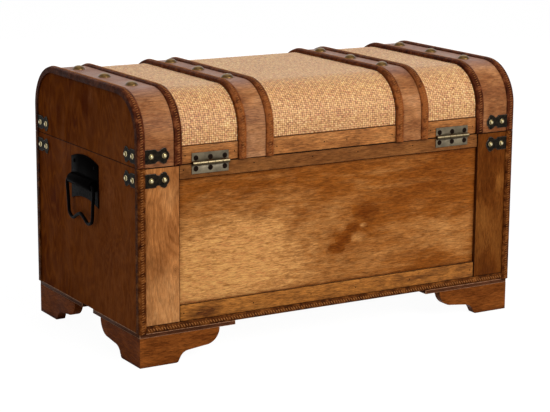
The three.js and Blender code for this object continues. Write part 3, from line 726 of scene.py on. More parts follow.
def new_tree(name, inputs):
    tree = bpy.data.node_groups.new(name, "GeometryNodeTree")
    for label, kind in inputs.items():
        tree.interface.new_socket(name=label, in_out="INPUT", socket_type="NodeSocket" + kind)
    tree.interface.new_socket(name="Geometry", in_out="OUTPUT", socket_type="NodeSocketGeometry")
    return tree, add(tree, "NodeGroupInput").outputs


def outward_turn(tree):
    """The turn that points a copy's Z axis away from the surface."""
    outward = add(tree, "GeometryNodeInputNamedAttribute", {"Name": "outward"},
                  data_type="FLOAT_VECTOR").outputs["Attribute"]
    return add(tree, "FunctionNodeAlignRotationToVector", {"Vector": outward}, axis="Z")


def finished_tree(tree, points, head, turn, material):
    """Ends a tree with a turned copy of a head on each point."""
    copies = add(tree, "GeometryNodeInstanceOnPoints", {
        "Points": points, "Instance": head.outputs["Geometry"], "Rotation": turn.outputs[0]})
    plain = add(tree, "GeometryNodeRealizeInstances", {"Geometry": copies.outputs[0]}).outputs[0]
    done = add(tree, "GeometryNodeSetMaterial", {"Geometry": plain, "Material": material})
    add(tree, "NodeGroupOutput", {"Geometry": done.outputs[0]})
    return tree


def heads_tree():
    """Sets a head on each mark, turned about its own axis by a random amount."""
    tree, given = new_tree("heads on marks", {
        "Geometry": "Geometry", "Head": "Object", "Most Turn": "Float", "Seed": "Int",
        "Finish": "Material"})
    head = add(tree, "GeometryNodeObjectInfo", {"Object": given["Head"]})
    chance = add(tree, "FunctionNodeRandomValue", {"Seed": given["Seed"]}, data_type="FLOAT")
    tree.links.new(given["Most Turn"], chance.inputs[3])
    spin = add(tree, "ShaderNodeCombineXYZ", {"Z": chance.outputs[1]})
    turn = add(tree, "FunctionNodeRotateRotation", {
        "Rotation": outward_turn(tree).outputs[0], "Rotate By": spin.outputs[0]},
        rotation_space="LOCAL")
    return finished_tree(tree, given["Geometry"], head, turn, given["Finish"])


def stitches_tree():
    """Sets a stitch at every pitch along each seam, slanted across it."""
    tree, given = new_tree("stitches along seams", {
        "Geometry": "Geometry", "Stitch": "Object", "Pitch": "Float", "Slant": "Float",
        "Finish": "Material"})
    stitch = add(tree, "GeometryNodeObjectInfo", {"Object": given["Stitch"]})
    seam = add(tree, "GeometryNodeMeshToCurve", {"Mesh": given["Geometry"]})
    spaced = add(tree, "GeometryNodeResampleCurve", {"Curve": seam.outputs[0],
                 "Length": given["Pitch"]}, mode="LENGTH")
    tangent = add(tree, "GeometryNodeInputTangent").outputs[0]
    along = add(tree, "FunctionNodeAlignRotationToVector", {
        "Rotation": outward_turn(tree).outputs[0], "Vector": tangent}, axis="X", pivot_axis="Z")
    slant = add(tree, "ShaderNodeCombineXYZ", {"Z": given["Slant"]})
    turn = add(tree, "FunctionNodeRotateRotation", {
        "Rotation": along.outputs[0], "Rotate By": slant.outputs[0]}, rotation_space="LOCAL")
    return finished_tree(tree, spaced.outputs[0], stitch, turn, given["Finish"])


def marked(name, runs):
    """A guide of vertices, each with the direction away from its surface, joined in each run."""
    places = [place for run in runs for place, outward in run]
    edges = []
    start = 0
    for run in runs:
        edges += [(start + i, start + i + 1) for i in range(len(run) - 1)]
        start += len(run)
    mesh = bpy.data.meshes.new(name)
    mesh.from_pydata([[c * MM for c in place] for place in places], edges, [])
    marks(mesh, "outward", [c for run in runs for _, way in run for c in way], "FLOAT_VECTOR")
    return linked(name, mesh)


def grown(name, tree, guide_runs, values):
    """What a tree makes of a guide, as one plain mesh."""
    piece = marked(name, guide_runs)
    change = piece.modifiers.new("growth", "NODES")
    change.node_group = tree
    for label, value in values.items():
        change[input_number(tree, label)] = value
    return settled(piece)


def lathe(name, profile, sides=20, polish=None):
    """A head turned about Z from (radius, height) pairs, its last pair on the axis."""
    rings = profile[:-1]
    places = [(r * math.cos(2 * math.pi * i / sides), r * math.sin(2 * math.pi * i / sides), z)
              for r, z in rings for i in range(sides)]
    places.append((0, 0, profile[-1][1]))
    faces = ring_faces(len(rings), sides)
    top = (len(rings) - 1) * sides
    faces += [(top + i, top + (i + 1) % sides, len(places) - 1) for i in range(sides)]
    faces.append(tuple(reversed(range(sides))))
    head = smoothed(shown(name, Shape(places, faces)), 35)
    # The polish shares paint a glint on the head: given ring by ring, or else rising to a bright
    # top
    shares = polish or [max(z, 0) / profile[-1][1] for _, z in profile]
    marks(head.data, "polish", [s for s in shares[:-1] for _ in range(sides)] + [shares[-1]])
    originals.append(head)
    return head


heads = heads_tree()
stitches = stitches_tree()


def set_heads(name, body, slot, head, spots, material, seed):
    """A head on each spot, which is its place and the direction away from the surface."""
    piece = grown(name, heads, [[spot] for spot in spots], {
        "Head": head, "Most Turn": math.tau, "Seed": seed, "Finish": material})
    placed(piece, body, slot)


# Boards that keep their CAD shape
def board(node, body, slot, material, edge=0.5, edge_material=joint_stain):
    piece = rounded(copied(node, "wood_" + node, material, edge_material), edge, edge_finish=1)
    return placed(piece, body, slot, node)


def swept_piece(name, shape, edge, *finishes):
    return rounded(solid(name, shape, *finishes), edge)


def case_boards():
    board("floor_board", "case", "board_wood", inner_wood)
    for end, _ in ENDS:
        board("case_end_" + end, "case", "panel_wood", end_wood)
    for wall, _ in WALLS:
        board("case_panel_" + wall, "case", "panel_wood", panel_wood)
        board("case_top_rail_" + wall, "case", "frame_wood", rail_wood, 0.7)
        board("case_bottom_rail_" + wall, "case", "frame_wood", low_rail_wood, 0.8)
        board("lid_rail_" + wall, "lid", "frame_wood", lid_rail_wood, 0.8)
        for end, _ in ENDS:
            corner = wall + "_" + end
            # The far stile at the back takes the darker copy of the stile wood, painted in shade
            stained = shaded_stile_wood if corner == "back_left" else stile_wood
            board("stile_" + corner, "case", "frame_wood", stained, 1.1)
            board("foot_plate_" + corner, "case", "foot_wood", plate_wood, 0.8, plate_edge_painted_highlight)


def lid_boards():
    shell = sweep(lid_path(LID_BOTTOM),
                  rectangle(-BOX_HALF_LENGTH, BOX_HALF_LENGTH, -LID_SHELL_THICKNESS, 0))
    placed(swept_piece("wood_lid_shell", shell, 0.4, inner_wood), "lid", "board_wood", "lid_shell")
    rim = [(y + ny * BAND_LEVEL, z + nz * BAND_LEVEL) for y, z, ny, nz in lid_path(LID_BOTTOM)]
    for end, x in ENDS:
        shape = prism("x", rim, BOX_HALF_LENGTH, END_FACE).mirrored(x)
        piece = swept_piece("wood_lid_end_" + end, shape, 0.5, end_wood)
        placed(piece, "lid", "panel_wood", "lid_end_" + end)
    widths = {"middle": (MIDDLE_STRAP_INNER + BEAD_WIDTH, MIDDLE_STRAP_OUTER - BEAD_WIDTH),
              "end": (END_STRAP_INNER + BEAD_WIDTH, CORNER_INNER)}
    for strap, (inner, outer) in widths.items():
        for end, x in ENDS:
            shape = sweep(lid_path(LID_BOTTOM), rectangle(inner, outer, BACKING_LEVEL, BAND_LEVEL))
            name = "strap_band_" + strap + "_" + end
            piece = swept_piece("wood_" + name, shape.mirrored(x), 0.4, band_wood)
            placed(piece, "lid", "frame_wood", name)


# Leather
def bracket_room(height):
    low, high = height - BRACKET_HALF_HEIGHT - FIT_GAP, height + BRACKET_HALF_HEIGHT + FIT_GAP
    past = 2
    outer_y = BAND_FACE + BRACKET_THICKNESS + FIT_GAP
    outer_x = END_FACE + BRACKET_THICKNESS + FIT_GAP
    on_face = block((CORNER_INNER - past, outer_x), (BAND_FACE - past, outer_y), (low, high))
    on_end = block((END_FACE - past, outer_x), (BAND_FACE - LIP_REACH - past, outer_y), (low, high))
    return on_face, on_end


def seam_bevel(edge, way):
    """A wedge that bevels leather at the seam: way is 1 above it and -1 below."""
    crest = BOX_HALF_DEPTH + BEAD_EDGE_LEVEL + BEAD_CROWN
    past = 2
    outline = [(crest - LEATHER_BEVEL - past, edge - way * past),
               (crest + past, edge - way * past),
               (crest + past, edge + way * (LEATHER_BEVEL + past))]
    outline = outline if way > 0 else outline[::-1]
    return prism("x", outline, END_STRAP_INNER - past, CHEST_HALF_LENGTH + past)


def lipped_section(inner_edge):
    return [(END_FACE, BAND_LEVEL), (END_FACE, BAND_LEVEL - LIP_REACH),
            (CHEST_HALF_LENGTH, BAND_LEVEL - LIP_REACH), *bead(CORNER_INNER), *inner_edge]


def leather_piece(name, body, shape, hide, rooms=()):
    """A leather piece, cut to leave rooms for what lies on it."""
    piece = cut(solid("leather_" + name, shape, hide), rooms)
    placed(smoothed(piece, 45), body, "leather", name)


def corner_leathers():
    section = [(CORNER_INNER, BAND_LEVEL), *lipped_section([])]
    for corner, x, y in CORNERS:
        strip = sweep(upright_path(CASE_BOTTOM, CASE_TOP), section).mirrored(x, y)
        rooms = [*bracket_room(CASE_BRACKET_HEIGHT), seam_bevel(CASE_TOP, -1)]
        rooms = [room.mirrored(x, y) for room in rooms]
        leather_piece("corner_leather_" + corner, "case", strip, corner_hide, rooms)


def strap_leathers():
    middle = [(MIDDLE_STRAP_INNER, WEAVE_LEVEL), (MIDDLE_STRAP_OUTER, WEAVE_LEVEL),
              *bead(MIDDLE_STRAP_OUTER - BEAD_WIDTH),
              (MIDDLE_STRAP_OUTER - BEAD_WIDTH, BACKING_LEVEL),
              (MIDDLE_STRAP_INNER + BEAD_WIDTH, BACKING_LEVEL), *bead(MIDDLE_STRAP_INNER)]
    inner_edge = [(CORNER_INNER, BACKING_LEVEL), (END_STRAP_INNER + BEAD_WIDTH, BACKING_LEVEL),
                  *bead(END_STRAP_INNER)]
    outer = [(END_STRAP_INNER, WEAVE_LEVEL), (BOX_HALF_LENGTH, WEAVE_LEVEL),
             (BOX_HALF_LENGTH, BAND_LEVEL), *lipped_section(inner_edge)]
    rooms = [*bracket_room(LID_BRACKET_HEIGHT), seam_bevel(LID_BOTTOM, 1)]
    for end, x in ENDS:
        strap = sweep(lid_path(LID_BOTTOM), middle).mirrored(x)
        leather_piece("strap_leather_middle_" + end, "lid", strap, strap_hide)
        strap = sweep(lid_path(LID_BOTTOM), outer).mirrored(x)
        own_rooms = [room.mirrored(x, y) for room in rooms for y in (1, -1)]
        leather_piece("strap_leather_end_" + end, "lid", strap, end_strap_hide, own_rooms)


def bottom_trims():
    crest = crown(CASE_BOTTOM, TRIM_TOP, TRIM_EDGE_LEVEL, TRIM_CROWN)
    outline = [(BOX_HALF_DEPTH, CASE_BOTTOM), (BOX_HALF_DEPTH, TRIM_TOP)]
    outline += [(BOX_HALF_DEPTH + level, z) for z, level in crest]
    for wall, y in WALLS:
        shape = prism("x", outline, -CORNER_INNER, CORNER_INNER).mirrored(1, y)
        leather_piece("bottom_trim_" + wall, "case", shape, trim_hide)


# Stitches
STITCH_PITCH = 3.7
STITCH_SINK = 0.15
TRIM_STITCH_PITCH = 4.4
TRIM_STITCH_SINK = 0.35
SEAM_FOOT_GAP = 2
SEAM_END_GAP = 3.5
TRIM_END_GAP = 3


def stitch_head(name, half, radius):
    """A bowed thread that runs across a seam."""
    sides = 6
    bow = [(-half, -0.5), (-half * 0.6, 0.12), (0, 0.3), (half * 0.6, 0.12), (half, -0.5)]
    turns = [math.tau * i / sides for i in range(sides)]
    places = [(radius * math.cos(turn), across, rise + radius * math.sin(turn))
              for across, rise in bow for turn in turns]
    stitch = smoothed(solid(name, tube(places, len(bow), sides)), 60)
    originals.append(stitch)
    return stitch


def sewn_seams():
    """Stitches along every bead, and along the trim at the foot."""
    crest = BEAD_EDGE_LEVEL + BEAD_CROWN - STITCH_SINK
    beads = [MIDDLE_STRAP_INNER + BEAD_WIDTH / 2, MIDDLE_STRAP_OUTER - BEAD_WIDTH / 2,
             END_STRAP_INNER + BEAD_WIDTH / 2, CORNER_INNER + BEAD_WIDTH / 2]
    lid_runs = [[((x * middle, y + ny * crest, z + nz * crest), (0, ny, nz))
                 for y, z, ny, nz in lid_path(LID_BOTTOM + SEAM_END_GAP)]
                for middle in beads for x in (-1, 1)]
    case_runs = [[((x * beads[-1], y * (BOX_HALF_DEPTH + crest), z), (0, y, 0))
                  for z in (CASE_BOTTOM + SEAM_FOOT_GAP, CASE_TOP - SEAM_END_GAP)]
                 for x in (-1, 1) for y in (-1, 1)]
    trim_crest = BOX_HALF_DEPTH + TRIM_EDGE_LEVEL + TRIM_CROWN - TRIM_STITCH_SINK
    trim_reach = CORNER_INNER - TRIM_END_GAP
    trim_height = (CASE_BOTTOM + TRIM_TOP) / 2
    trim_runs = [[((x, y * trim_crest, trim_height), (0, y, 0))
                  for x in (-trim_reach, trim_reach)] for y in (-1, 1)]
    fine = ("stitch", 2.4, 0.42), STITCH_PITCH, 0.25, thread
    coarse = ("trim stitch", 2.6, 0.7), TRIM_STITCH_PITCH, 0.6, trim_thread
    for part, body, runs, (head, pitch, slant, material) in (
            ("straps", "lid", lid_runs, fine), ("corners", "case", case_runs, fine),
            ("trim", "case", trim_runs, coarse)):
        sewn = grown("stitches_of_" + part, stitches, runs, {
            "Stitch": stitch_head(*head), "Pitch": pitch * MM, "Slant": slant,
            "Finish": material})
        placed(sewn, body, "leather")


# Woven cover
WEAVE_CROSSINGS = {"side": 26, "centre": 62}
ROW_PITCH = 3.11
CELL_SAMPLES = 3
WEAVE_LOW = 0.75
WEAVE_RISE = 1.0
BASE_LEVEL = 0.05
WEAVE_SEED = 7
STRAND_WANDER = 0.07
STRAND_SPREAD = 0.14
FIBRE_SPREAD = 0.1


def resampled(path, level, count):
    """Places at even steps along a path at some level."""
    places = np.array([(y + ny * level, z + nz * level, ny, nz) for y, z, ny, nz in path])
    gone = np.concatenate([[0], np.cumsum(np.hypot(*np.diff(places[:, :2], axis=0).T))])
    steps = np.linspace(0, gone[-1], count)
    return np.stack([np.interp(steps, gone, places[:, i]) for i in range(4)], axis=1), gone[-1]


def weave_relief(crossings, rows):
    """Where each place of the weave lies across it, in cells, and how high it stands."""
    across, along = crossings * CELL_SAMPLES + 1, rows * CELL_SAMPLES + 1
    u, v = np.meshgrid(np.arange(across) / CELL_SAMPLES, np.arange(along) / CELL_SAMPLES)
    random = np.random.default_rng(WEAVE_SEED)
    wander = [random.normal(0, STRAND_WANDER, count + 2) for count in (crossings, rows)]
    fullness = random.normal(1, STRAND_SPREAD, (rows, crossings))
    cell_u = np.minimum(np.floor(u).astype(int), crossings - 1)
    cell_v = np.minimum(np.floor(v).astype(int), rows - 1)
    part_u, part_v = u - cell_u, v - cell_v
    crosswise = (cell_u + cell_v) % 2 == 0
    strand = np.where(crosswise, part_v, part_u)
    run = np.where(crosswise, part_u, part_v)
    rise = (0.3 + 0.7 * np.sin(np.pi * strand) ** 0.8) * (0.35 + 0.65 * np.sin(np.pi * run))
    rise = rise * np.where(crosswise, 1.05, 0.7) * fullness[cell_v, cell_u]
    rise = np.clip(rise * (1 + random.normal(0, FIBRE_SPREAD, rise.shape)), 0, 1.2)
    return u + wander[0][np.round(u).astype(int)] + 0.4 * wander[1][cell_v], rise


def closing_faces(index):
    """Faces from a grid's rim to a strip below it, whose places come after the grid's in pairs."""
    along, across = index.shape
    start = along * across
    faces = []
    for row in range(along - 1):
        a = start + 2 * row
        faces.append((a, a + 2, a + 3, a + 1))
        faces.append((a, index[row, 0], index[row + 1, 0], a + 2))
        faces.append((a + 1, a + 3, index[row + 1, -1], index[row, -1]))
    faces.append((start, start + 1, *index[0, ::-1]))
    faces.append((start + 2 * along - 1, start + 2 * along - 2, *index[-1, :]))
    return faces


def woven_bay(name, low, high, crossings):
    curve = lid_path(LID_RAIL_TOP, spacing=1)
    _, length = resampled(curve, WEAVE_LEVEL, 2)
    cells, rise = weave_relief(crossings, round(length / ROW_PITCH))
    along, across = rise.shape
    route, _ = resampled(curve, WEAVE_LEVEL, along)
    x = low + cells * ((high - low) / crossings)
    x[:, 0], x[:, -1] = low, high
    level = WEAVE_LOW + WEAVE_RISE * rise - WEAVE_LEVEL
    places = np.stack([x, route[:, None, 0] + route[:, None, 2] * level,
                       route[:, None, 1] + route[:, None, 3] * level], axis=2).reshape(-1, 3)
    base = BASE_LEVEL - WEAVE_LEVEL
    under = [(x0, y + ny * base, z + nz * base) for y, z, ny, nz in route for x0 in (low, high)]
    index = np.arange(across * along).reshape(along, across)
    quads = np.stack([index[:-1, :-1], index[:-1, 1:], index[1:, 1:], index[1:, :-1]], axis=2)
    mesh = bpy.data.meshes.new(name)
    mesh.from_pydata(np.vstack([places, under]) * MM, [],
                     quads.reshape(-1, 4).tolist() + closing_faces(index))
    mesh.materials.append(rush)
    marks(mesh, "height", np.concatenate([rise.reshape(-1), np.zeros(2 * along)]))
    piece = smoothed(linked(name, mesh), 75)
    placed(piece, "lid", "weave", "lid_weave")


def woven_cover():
    for bay, low, high in (("centre", -MIDDLE_STRAP_INNER, MIDDLE_STRAP_INNER),
                           ("right", MIDDLE_STRAP_OUTER, END_STRAP_INNER),
                           ("left", -END_STRAP_INNER, -MIDDLE_STRAP_OUTER)):
        crossings = WEAVE_CROSSINGS["centre" if bay == "centre" else "side"]
        woven_bay("woven_bay_" + bay, low, high, crossings)


# Corners of bent plate, and feet of two mitred boards
def cornered(outline_on_face, outline_on_end, corner_x, corner_y, thickness):
    """Two plates that meet in a mitre: each outline holds (distance from the corner, height)."""
    places = []
    faces = []
    finishes = []
    for outline, on_face in ((outline_on_face, True), (outline_on_end, False)):
        start, count = len(places), len(outline)
        for depth in (0, thickness):
            for along, height in outline:
                at = max(along, depth) if along < thickness else along
                if on_face:
                    places.append((corner_x - at, corner_y - depth, height))
                else:
                    places.append((corner_x - depth, corner_y - at, height))
        loops = [tuple(range(start, start + count)),
                 tuple(reversed(range(start + count, start + 2 * count)))]
        for i in range(count):
            j = (i + 1) % count
            if outline[i][0] == 0 and outline[j][0] == 0:
                continue
            loops.append((start + j, start + i, start + count + i, start + count + j))
        if not on_face:
            loops = [loop[::-1] for loop in loops]
        faces += loops
        finishes += [0 if on_face else 1] * len(loops)
    return Shape(places, faces, finishes)


def foot_outline():
    """From the corner's floor along the toe, the ogee and the top, back to the corner."""
    toe = arc((COVE_START - TOE_RADIUS, TOE_RADIUS), TOE_RADIUS, -90, 0, 5)
    cove = arc((COVE_START + COVE_RADIUS, 0), COVE_RADIUS, 163, 90, 12)
    bulge = arc((BULGE_END - BULGE_RADIUS, FOOT_HEIGHT), BULGE_RADIUS, -90, 0, 16)
    return [(0, 0), *toe, *cove, *bulge, (0, FOOT_HEIGHT)]


def feet():
    outline = foot_outline()
    shape = cornered(outline, outline, END_FACE, BAND_FACE, FOOT_THICKNESS)
    for corner, x, y in CORNERS:
        piece = solid("wood_foot_" + corner, shape.mirrored(x, y), foot_wood_x, foot_wood_y)
        placed(rounded(piece, 0.8), "case", "foot_wood", "foot_" + corner)


def bracket_outline(knob):
    """A bracket's leg from the corner: its strap, waist and knob of three lobes."""
    half = BRACKET_HALF_HEIGHT
    notch = knob - NOTCH_SETBACK
    reach = math.sqrt(NOTCH_RADIUS ** 2 - (NOTCH_RISE - half) ** 2)
    dip = math.degrees(math.atan2(half - NOTCH_RISE, reach))
    rise = math.degrees(math.asin((half - LOBE_RISE) / LOBE_RADIUS))
    meet = (LOBE_RISE ** 2 + KNOB_RADIUS ** 2 - LOBE_RADIUS ** 2) / (2 * LOBE_RISE)
    side = math.sqrt(KNOB_RADIUS ** 2 - meet ** 2)
    lobe_end = math.degrees(math.atan2(meet - LOBE_RISE, side))
    knob_start = math.degrees(math.atan2(meet, side))
    upper = [(0, half), *arc((notch, NOTCH_RISE), NOTCH_RADIUS, -180 - dip, dip, 10),
             *arc((knob, LOBE_RISE), LOBE_RADIUS, 180 - rise, lobe_end, 12),
             *arc((knob, 0), KNOB_RADIUS, knob_start, 0, 8)]
    lower = [(along, -height) for along, height in reversed(upper[:-1])]
    return lower[::-1] + upper[::-1]


def brackets():
    corner_x, corner_y = END_FACE + BRACKET_THICKNESS, BAND_FACE + BRACKET_THICKNESS
    for body, height in (("lid", LID_BRACKET_HEIGHT), ("case", CASE_BRACKET_HEIGHT)):
        legs = []
        for knob in (FACE_KNOB, END_KNOB):
            outline = bracket_outline(knob + BRACKET_THICKNESS)
            legs.append([(along, height + rise) for along, rise in outline])
        shape = cornered(*legs, corner_x, corner_y, BRACKET_THICKNESS)
        shape.finishes = [0] * len(shape.faces)
        spots = []
        for corner, x, y in CORNERS:
            name = body + "_bracket_" + corner
            piece = solid("iron_" + name, shape.mirrored(x, y), bracket_iron, iron_edge_wear_and_painted_highlight)
            placed(rounded(piece, 0.3, edge_finish=1), body, "iron", name)
            for nail in (FACE_KNOB, FACE_KNOB - BRACKET_NAIL_PITCH):
                spots.append(((x * (END_FACE - nail), y * corner_y, height), (0, y, 0)))
            for nail in (END_KNOB, END_KNOB - BRACKET_NAIL_PITCH):
                spots.append(((x * corner_x, y * (BAND_FACE - nail), height), (x, 0, 0)))
        set_heads("nails_of_" + body + "_brackets", body, "brass", bracket_nail, spots,
                  dome_brass_painted_glint, 3)


# Heads of nails, rivets and screws
SKIRT = -0.3
DOME_STEPS = 7


def dome(radius, height):
    """A domed head's profile, from its skirt a little below the surface."""
    turns = [math.pi / 2 * i / DOME_STEPS for i in range(DOME_STEPS + 1)]
    return [(radius, SKIRT), *((radius * math.cos(t), height * math.sin(t)) for t in turns)]


# The polish shares paint each brass head's reflections: a pale rim and bright top with a darker
# band between
bracket_nail = lathe("bracket nail", dome(4.4, 2.6), 24,
                     [0.4, 0.9, 0.95, 0.8, 0.55, 0.55, 0.8, 1.0, 1.0])
strap_nail = lathe("strap nail", [(9.3, SKIRT), (9.3, 0.5), (9.0, 1.1), (8.6, 1.6), (7.6, 3.0),
                                  (6.1, 4.2), (4.2, 5.0), (2.1, 5.5), (0, 5.65)], 32,
                   [0, 0.5, 0.65, 0.2, 0.35, 0.6, 0.7, 0.75, 0.75])
rivet = lathe("rivet", dome(3, 1.4))
brad = lathe("brad", [(1.0, SKIRT), (1.0, 0.05), (0, 0.08)], 10)


def screw_head():
    """A countersunk head with a cross cut into it."""
    head = lathe("screw", [(3.9, SKIRT), (3.9, 0.2), (3.5, 0.45), (1.7, 0.55), (0, 0.55)], 24)
    long, wide = (-2.1, 2.1), (-0.42, 0.42)
    arms = [block(x, y, (0.15, 2)) for x, y in ((long, wide), (wide, long))]
    return smoothed(cut(head, arms), 35)


screw = screw_head()


def strap_nails():
    middles = [(MIDDLE_STRAP_INNER + MIDDLE_STRAP_OUTER) / 2,
               (END_STRAP_INNER + BEAD_WIDTH + CORNER_INNER) / 2]
    spots = [((x * middle, y * STRAP_NAIL_PITCH, BOX_TOP + BAND_LEVEL), (0, 0, 1))
             for middle in middles for x in (-1, 1) for y in (-1, 0, 1)]
    set_heads("nails_of_straps", "lid", "brass", strap_nail, spots, nail_brass, 5)


def brads():
    """Small sunk nails that hold the rails, near the stiles and under the straps."""
    above_seam = [(place, LID_BOTTOM + BRAD_SETBACK) for place in (
        END_STRAP_INNER - 6, MIDDLE_STRAP_OUTER + 6, MIDDLE_STRAP_INNER - 7, 20)]
    below_seam = [(place, height) for height in (CASE_TOP - 8, TRIM_TOP + BRAD_SETBACK)
                  for place in (256, 140, 40)]
    for body, places, seed in (("lid", above_seam, 1), ("case", below_seam, 2)):
        spots = [((x * place, y * RAIL_FACE, height), (0, y, 0))
                 for place, height in places for x in (-1, 1) for y in (-1, 1)]
        set_heads("brads_of_" + body, body, "iron", brad, spots, screw_iron, seed)


# Hinges
# Painted highlight on the barrels' upper crest, and painted shade at the knuckles' ends
KNUCKLE_END = 0.4
CREST_SHARPNESS = 9


def hinge_leaf(way):
    """One leaf with its own knuckles: way is 1 for the lid's and -1 for the case's."""
    left, pitch = HINGE_CENTRE - HINGE_WIDTH / 2, HINGE_WIDTH / KNUCKLES
    right = left + HINGE_WIDTH
    room = BARREL_RADIUS + FIT_GAP
    edge = []
    for i in range(KNUCKLES):
        own = (i % 2 == 0) == (way < 0)
        near = FIT_GAP if own else room
        edge += [(left + i * pitch, SEAM + way * near), (left + (i + 1) * pitch, SEAM + way * near)]
    outline = edge + [(right, SEAM + way * HINGE_REACH), (left, SEAM + way * HINGE_REACH)]
    swapped = [(z, x) for x, z in outline]
    swapped = swapped[::-1] if way > 0 else swapped
    leaf = solid("leaf", prism("y", swapped, RAIL_FACE, RAIL_FACE + HINGE_LEAF_THICKNESS))
    leaf = rounded(leaf, 0.25)
    barrels = []
    for i in range(KNUCKLES):
        if (i % 2 == 0) == (way < 0):
            low, high = left + i * pitch + FIT_GAP / 2, left + (i + 1) * pitch - FIT_GAP / 2
            shape = bar("x", (HINGE_AXIS_Y, SEAM), BARREL_RADIUS, low, high, 32)
            barrels.append(rounded(solid("knuckle", shape), 0.3))
    return leaf, barrels


def merged(name, pieces, *finishes):
    """One piece made of several, with their rounded edges kept."""
    edit = bmesh.new()
    for piece in pieces:
        edit.from_mesh(piece.data)
    mesh = bpy.data.meshes.new(name)
    edit.to_mesh(mesh)
    edit.free()
    for material in finishes:
        mesh.materials.append(material)
    for piece in pieces:
        bpy.data.objects.remove(piece)
    return linked(name, mesh)


def paint_barrel_highlight(piece):
    """Marks a painted highlight along each hinge barrel's upper crest, with painted shade at the
    knuckles' ends.
    """
    left, pitch = HINGE_CENTRE - HINGE_WIDTH / 2, HINGE_WIDTH / KNUCKLES
    shares = []
    for vertex in piece.data.vertices:
        x, y, z = vertex.co / MM
        share = (x - left) / pitch
        near_end = abs(share - round(share)) * pitch < KNUCKLE_END
        crest = (0.8 * (y - HINGE_AXIS_Y) + 0.6 * (z - SEAM)) / BARREL_RADIUS
        shares.append(0 if near_end else max(0, crest) ** CREST_SHARPNESS)
    marks(piece.data, "polish", shares)


def twinned(name, piece, side):
    """A piece's copy at one end, mirrored where the side is -1, its faces still pointing out."""
    twin = linked(name, piece.data.copy())
    twin.data.transform(Matrix.Diagonal((side, 1, 1, 1)))
    if side < 0:
        twin.data.flip_normals()
    return twin


def hinges():
    for way, body, part in ((1, "lid", "hinge_lid_leaf_"), (-1, "case", "hinge_case_leaf_")):
        leaf, barrels = hinge_leaf(way)
        for barrel in barrels:
            barrel.data.polygons.foreach_set("material_index", [1] * len(barrel.data.polygons))
        whole = smoothed(merged("leaf", [leaf, *barrels], hinge_brass, barrel_brass), 30)
        paint_barrel_highlight(whole)
        for end, x in ENDS:
            placed(twinned("brass_" + part + end, whole, x), body, "brass", part + end)
        bpy.data.objects.remove(whole)
        face = RAIL_FACE + HINGE_LEAF_THICKNESS
        spots = [((x * (HINGE_CENTRE + place), face, SEAM + way * SCREW_RISE), (0, 1, 0))
                 for x in (-1, 1) for place in (-SCREW_PITCH, 0, SCREW_PITCH)]
        set_heads("screws_of_" + body + "_leaves", body, "brass", screw, spots, screw_iron, 4)


# Drop handles
BAIL_STEPS = 8
BAIL_SIDES = 18
ARCH_STEPS = 24


def bail_route():
    """The bail's middle line in (y, height): sockets, elbows, and a waved grip."""
    half = [(30, 0), (39, 0), (40.5, 0), (45.5, -5), (42.75, -30.5), (40, -51), (35, -56),
            (25, -58), (12.5, -51.75)]
    return half + [(0, -47.5)] + [(-y, drop) for y, drop in reversed(half)]


def smooth_route(route):
    """A centripetal curve through the places of a route."""
    points = [Vector(place) for place in route]
    points = [2 * points[0] - points[1], *points, 2 * points[-1] - points[-2]]
    curve = []
    for i in range(1, len(points) - 2):
        a, b, c, d = points[i - 1:i + 3]
        t0, t1 = 0, math.sqrt((b - a).length)
        t2 = t1 + math.sqrt((c - b).length)
        t3 = t2 + math.sqrt((d - c).length)
        for step in range(BAIL_STEPS):
            t = t1 + (t2 - t1) * step / BAIL_STEPS
            p = a.lerp(b, (t - t0) / (t1 - t0))
            q = b.lerp(c, (t - t1) / (t2 - t1))
            r = c.lerp(d, (t - t2) / (t3 - t2))
            m = p.lerp(q, (t - t0) / (t2 - t0))
            n = q.lerp(r, (t - t1) / (t3 - t1))
            curve.append(m.lerp(n, (t - t1) / (t2 - t1)))
    return curve + [points[-2]]


def bail_shape():
    axis_x = END_FACE + PLATE_THICKNESS + BAIL_STANDOFF
    line = smooth_route(bail_route())
    places = []
    for i, place in enumerate(line):
        ahead = (line[min(i + 1, len(line) - 1)] - line[max(i - 1, 0)]).normalized()
        side = Vector((-ahead.y, ahead.x))
        for k in range(BAIL_SIDES):
            turn = math.tau * k / BAIL_SIDES
            flat = place + side * BAIL_RADIUS * math.cos(turn)
            places.append((axis_x + BAIL_RADIUS * math.sin(turn), flat.x, HANDLE_PIVOT + flat.y))
    return tube(places, len(line), BAIL_SIDES)


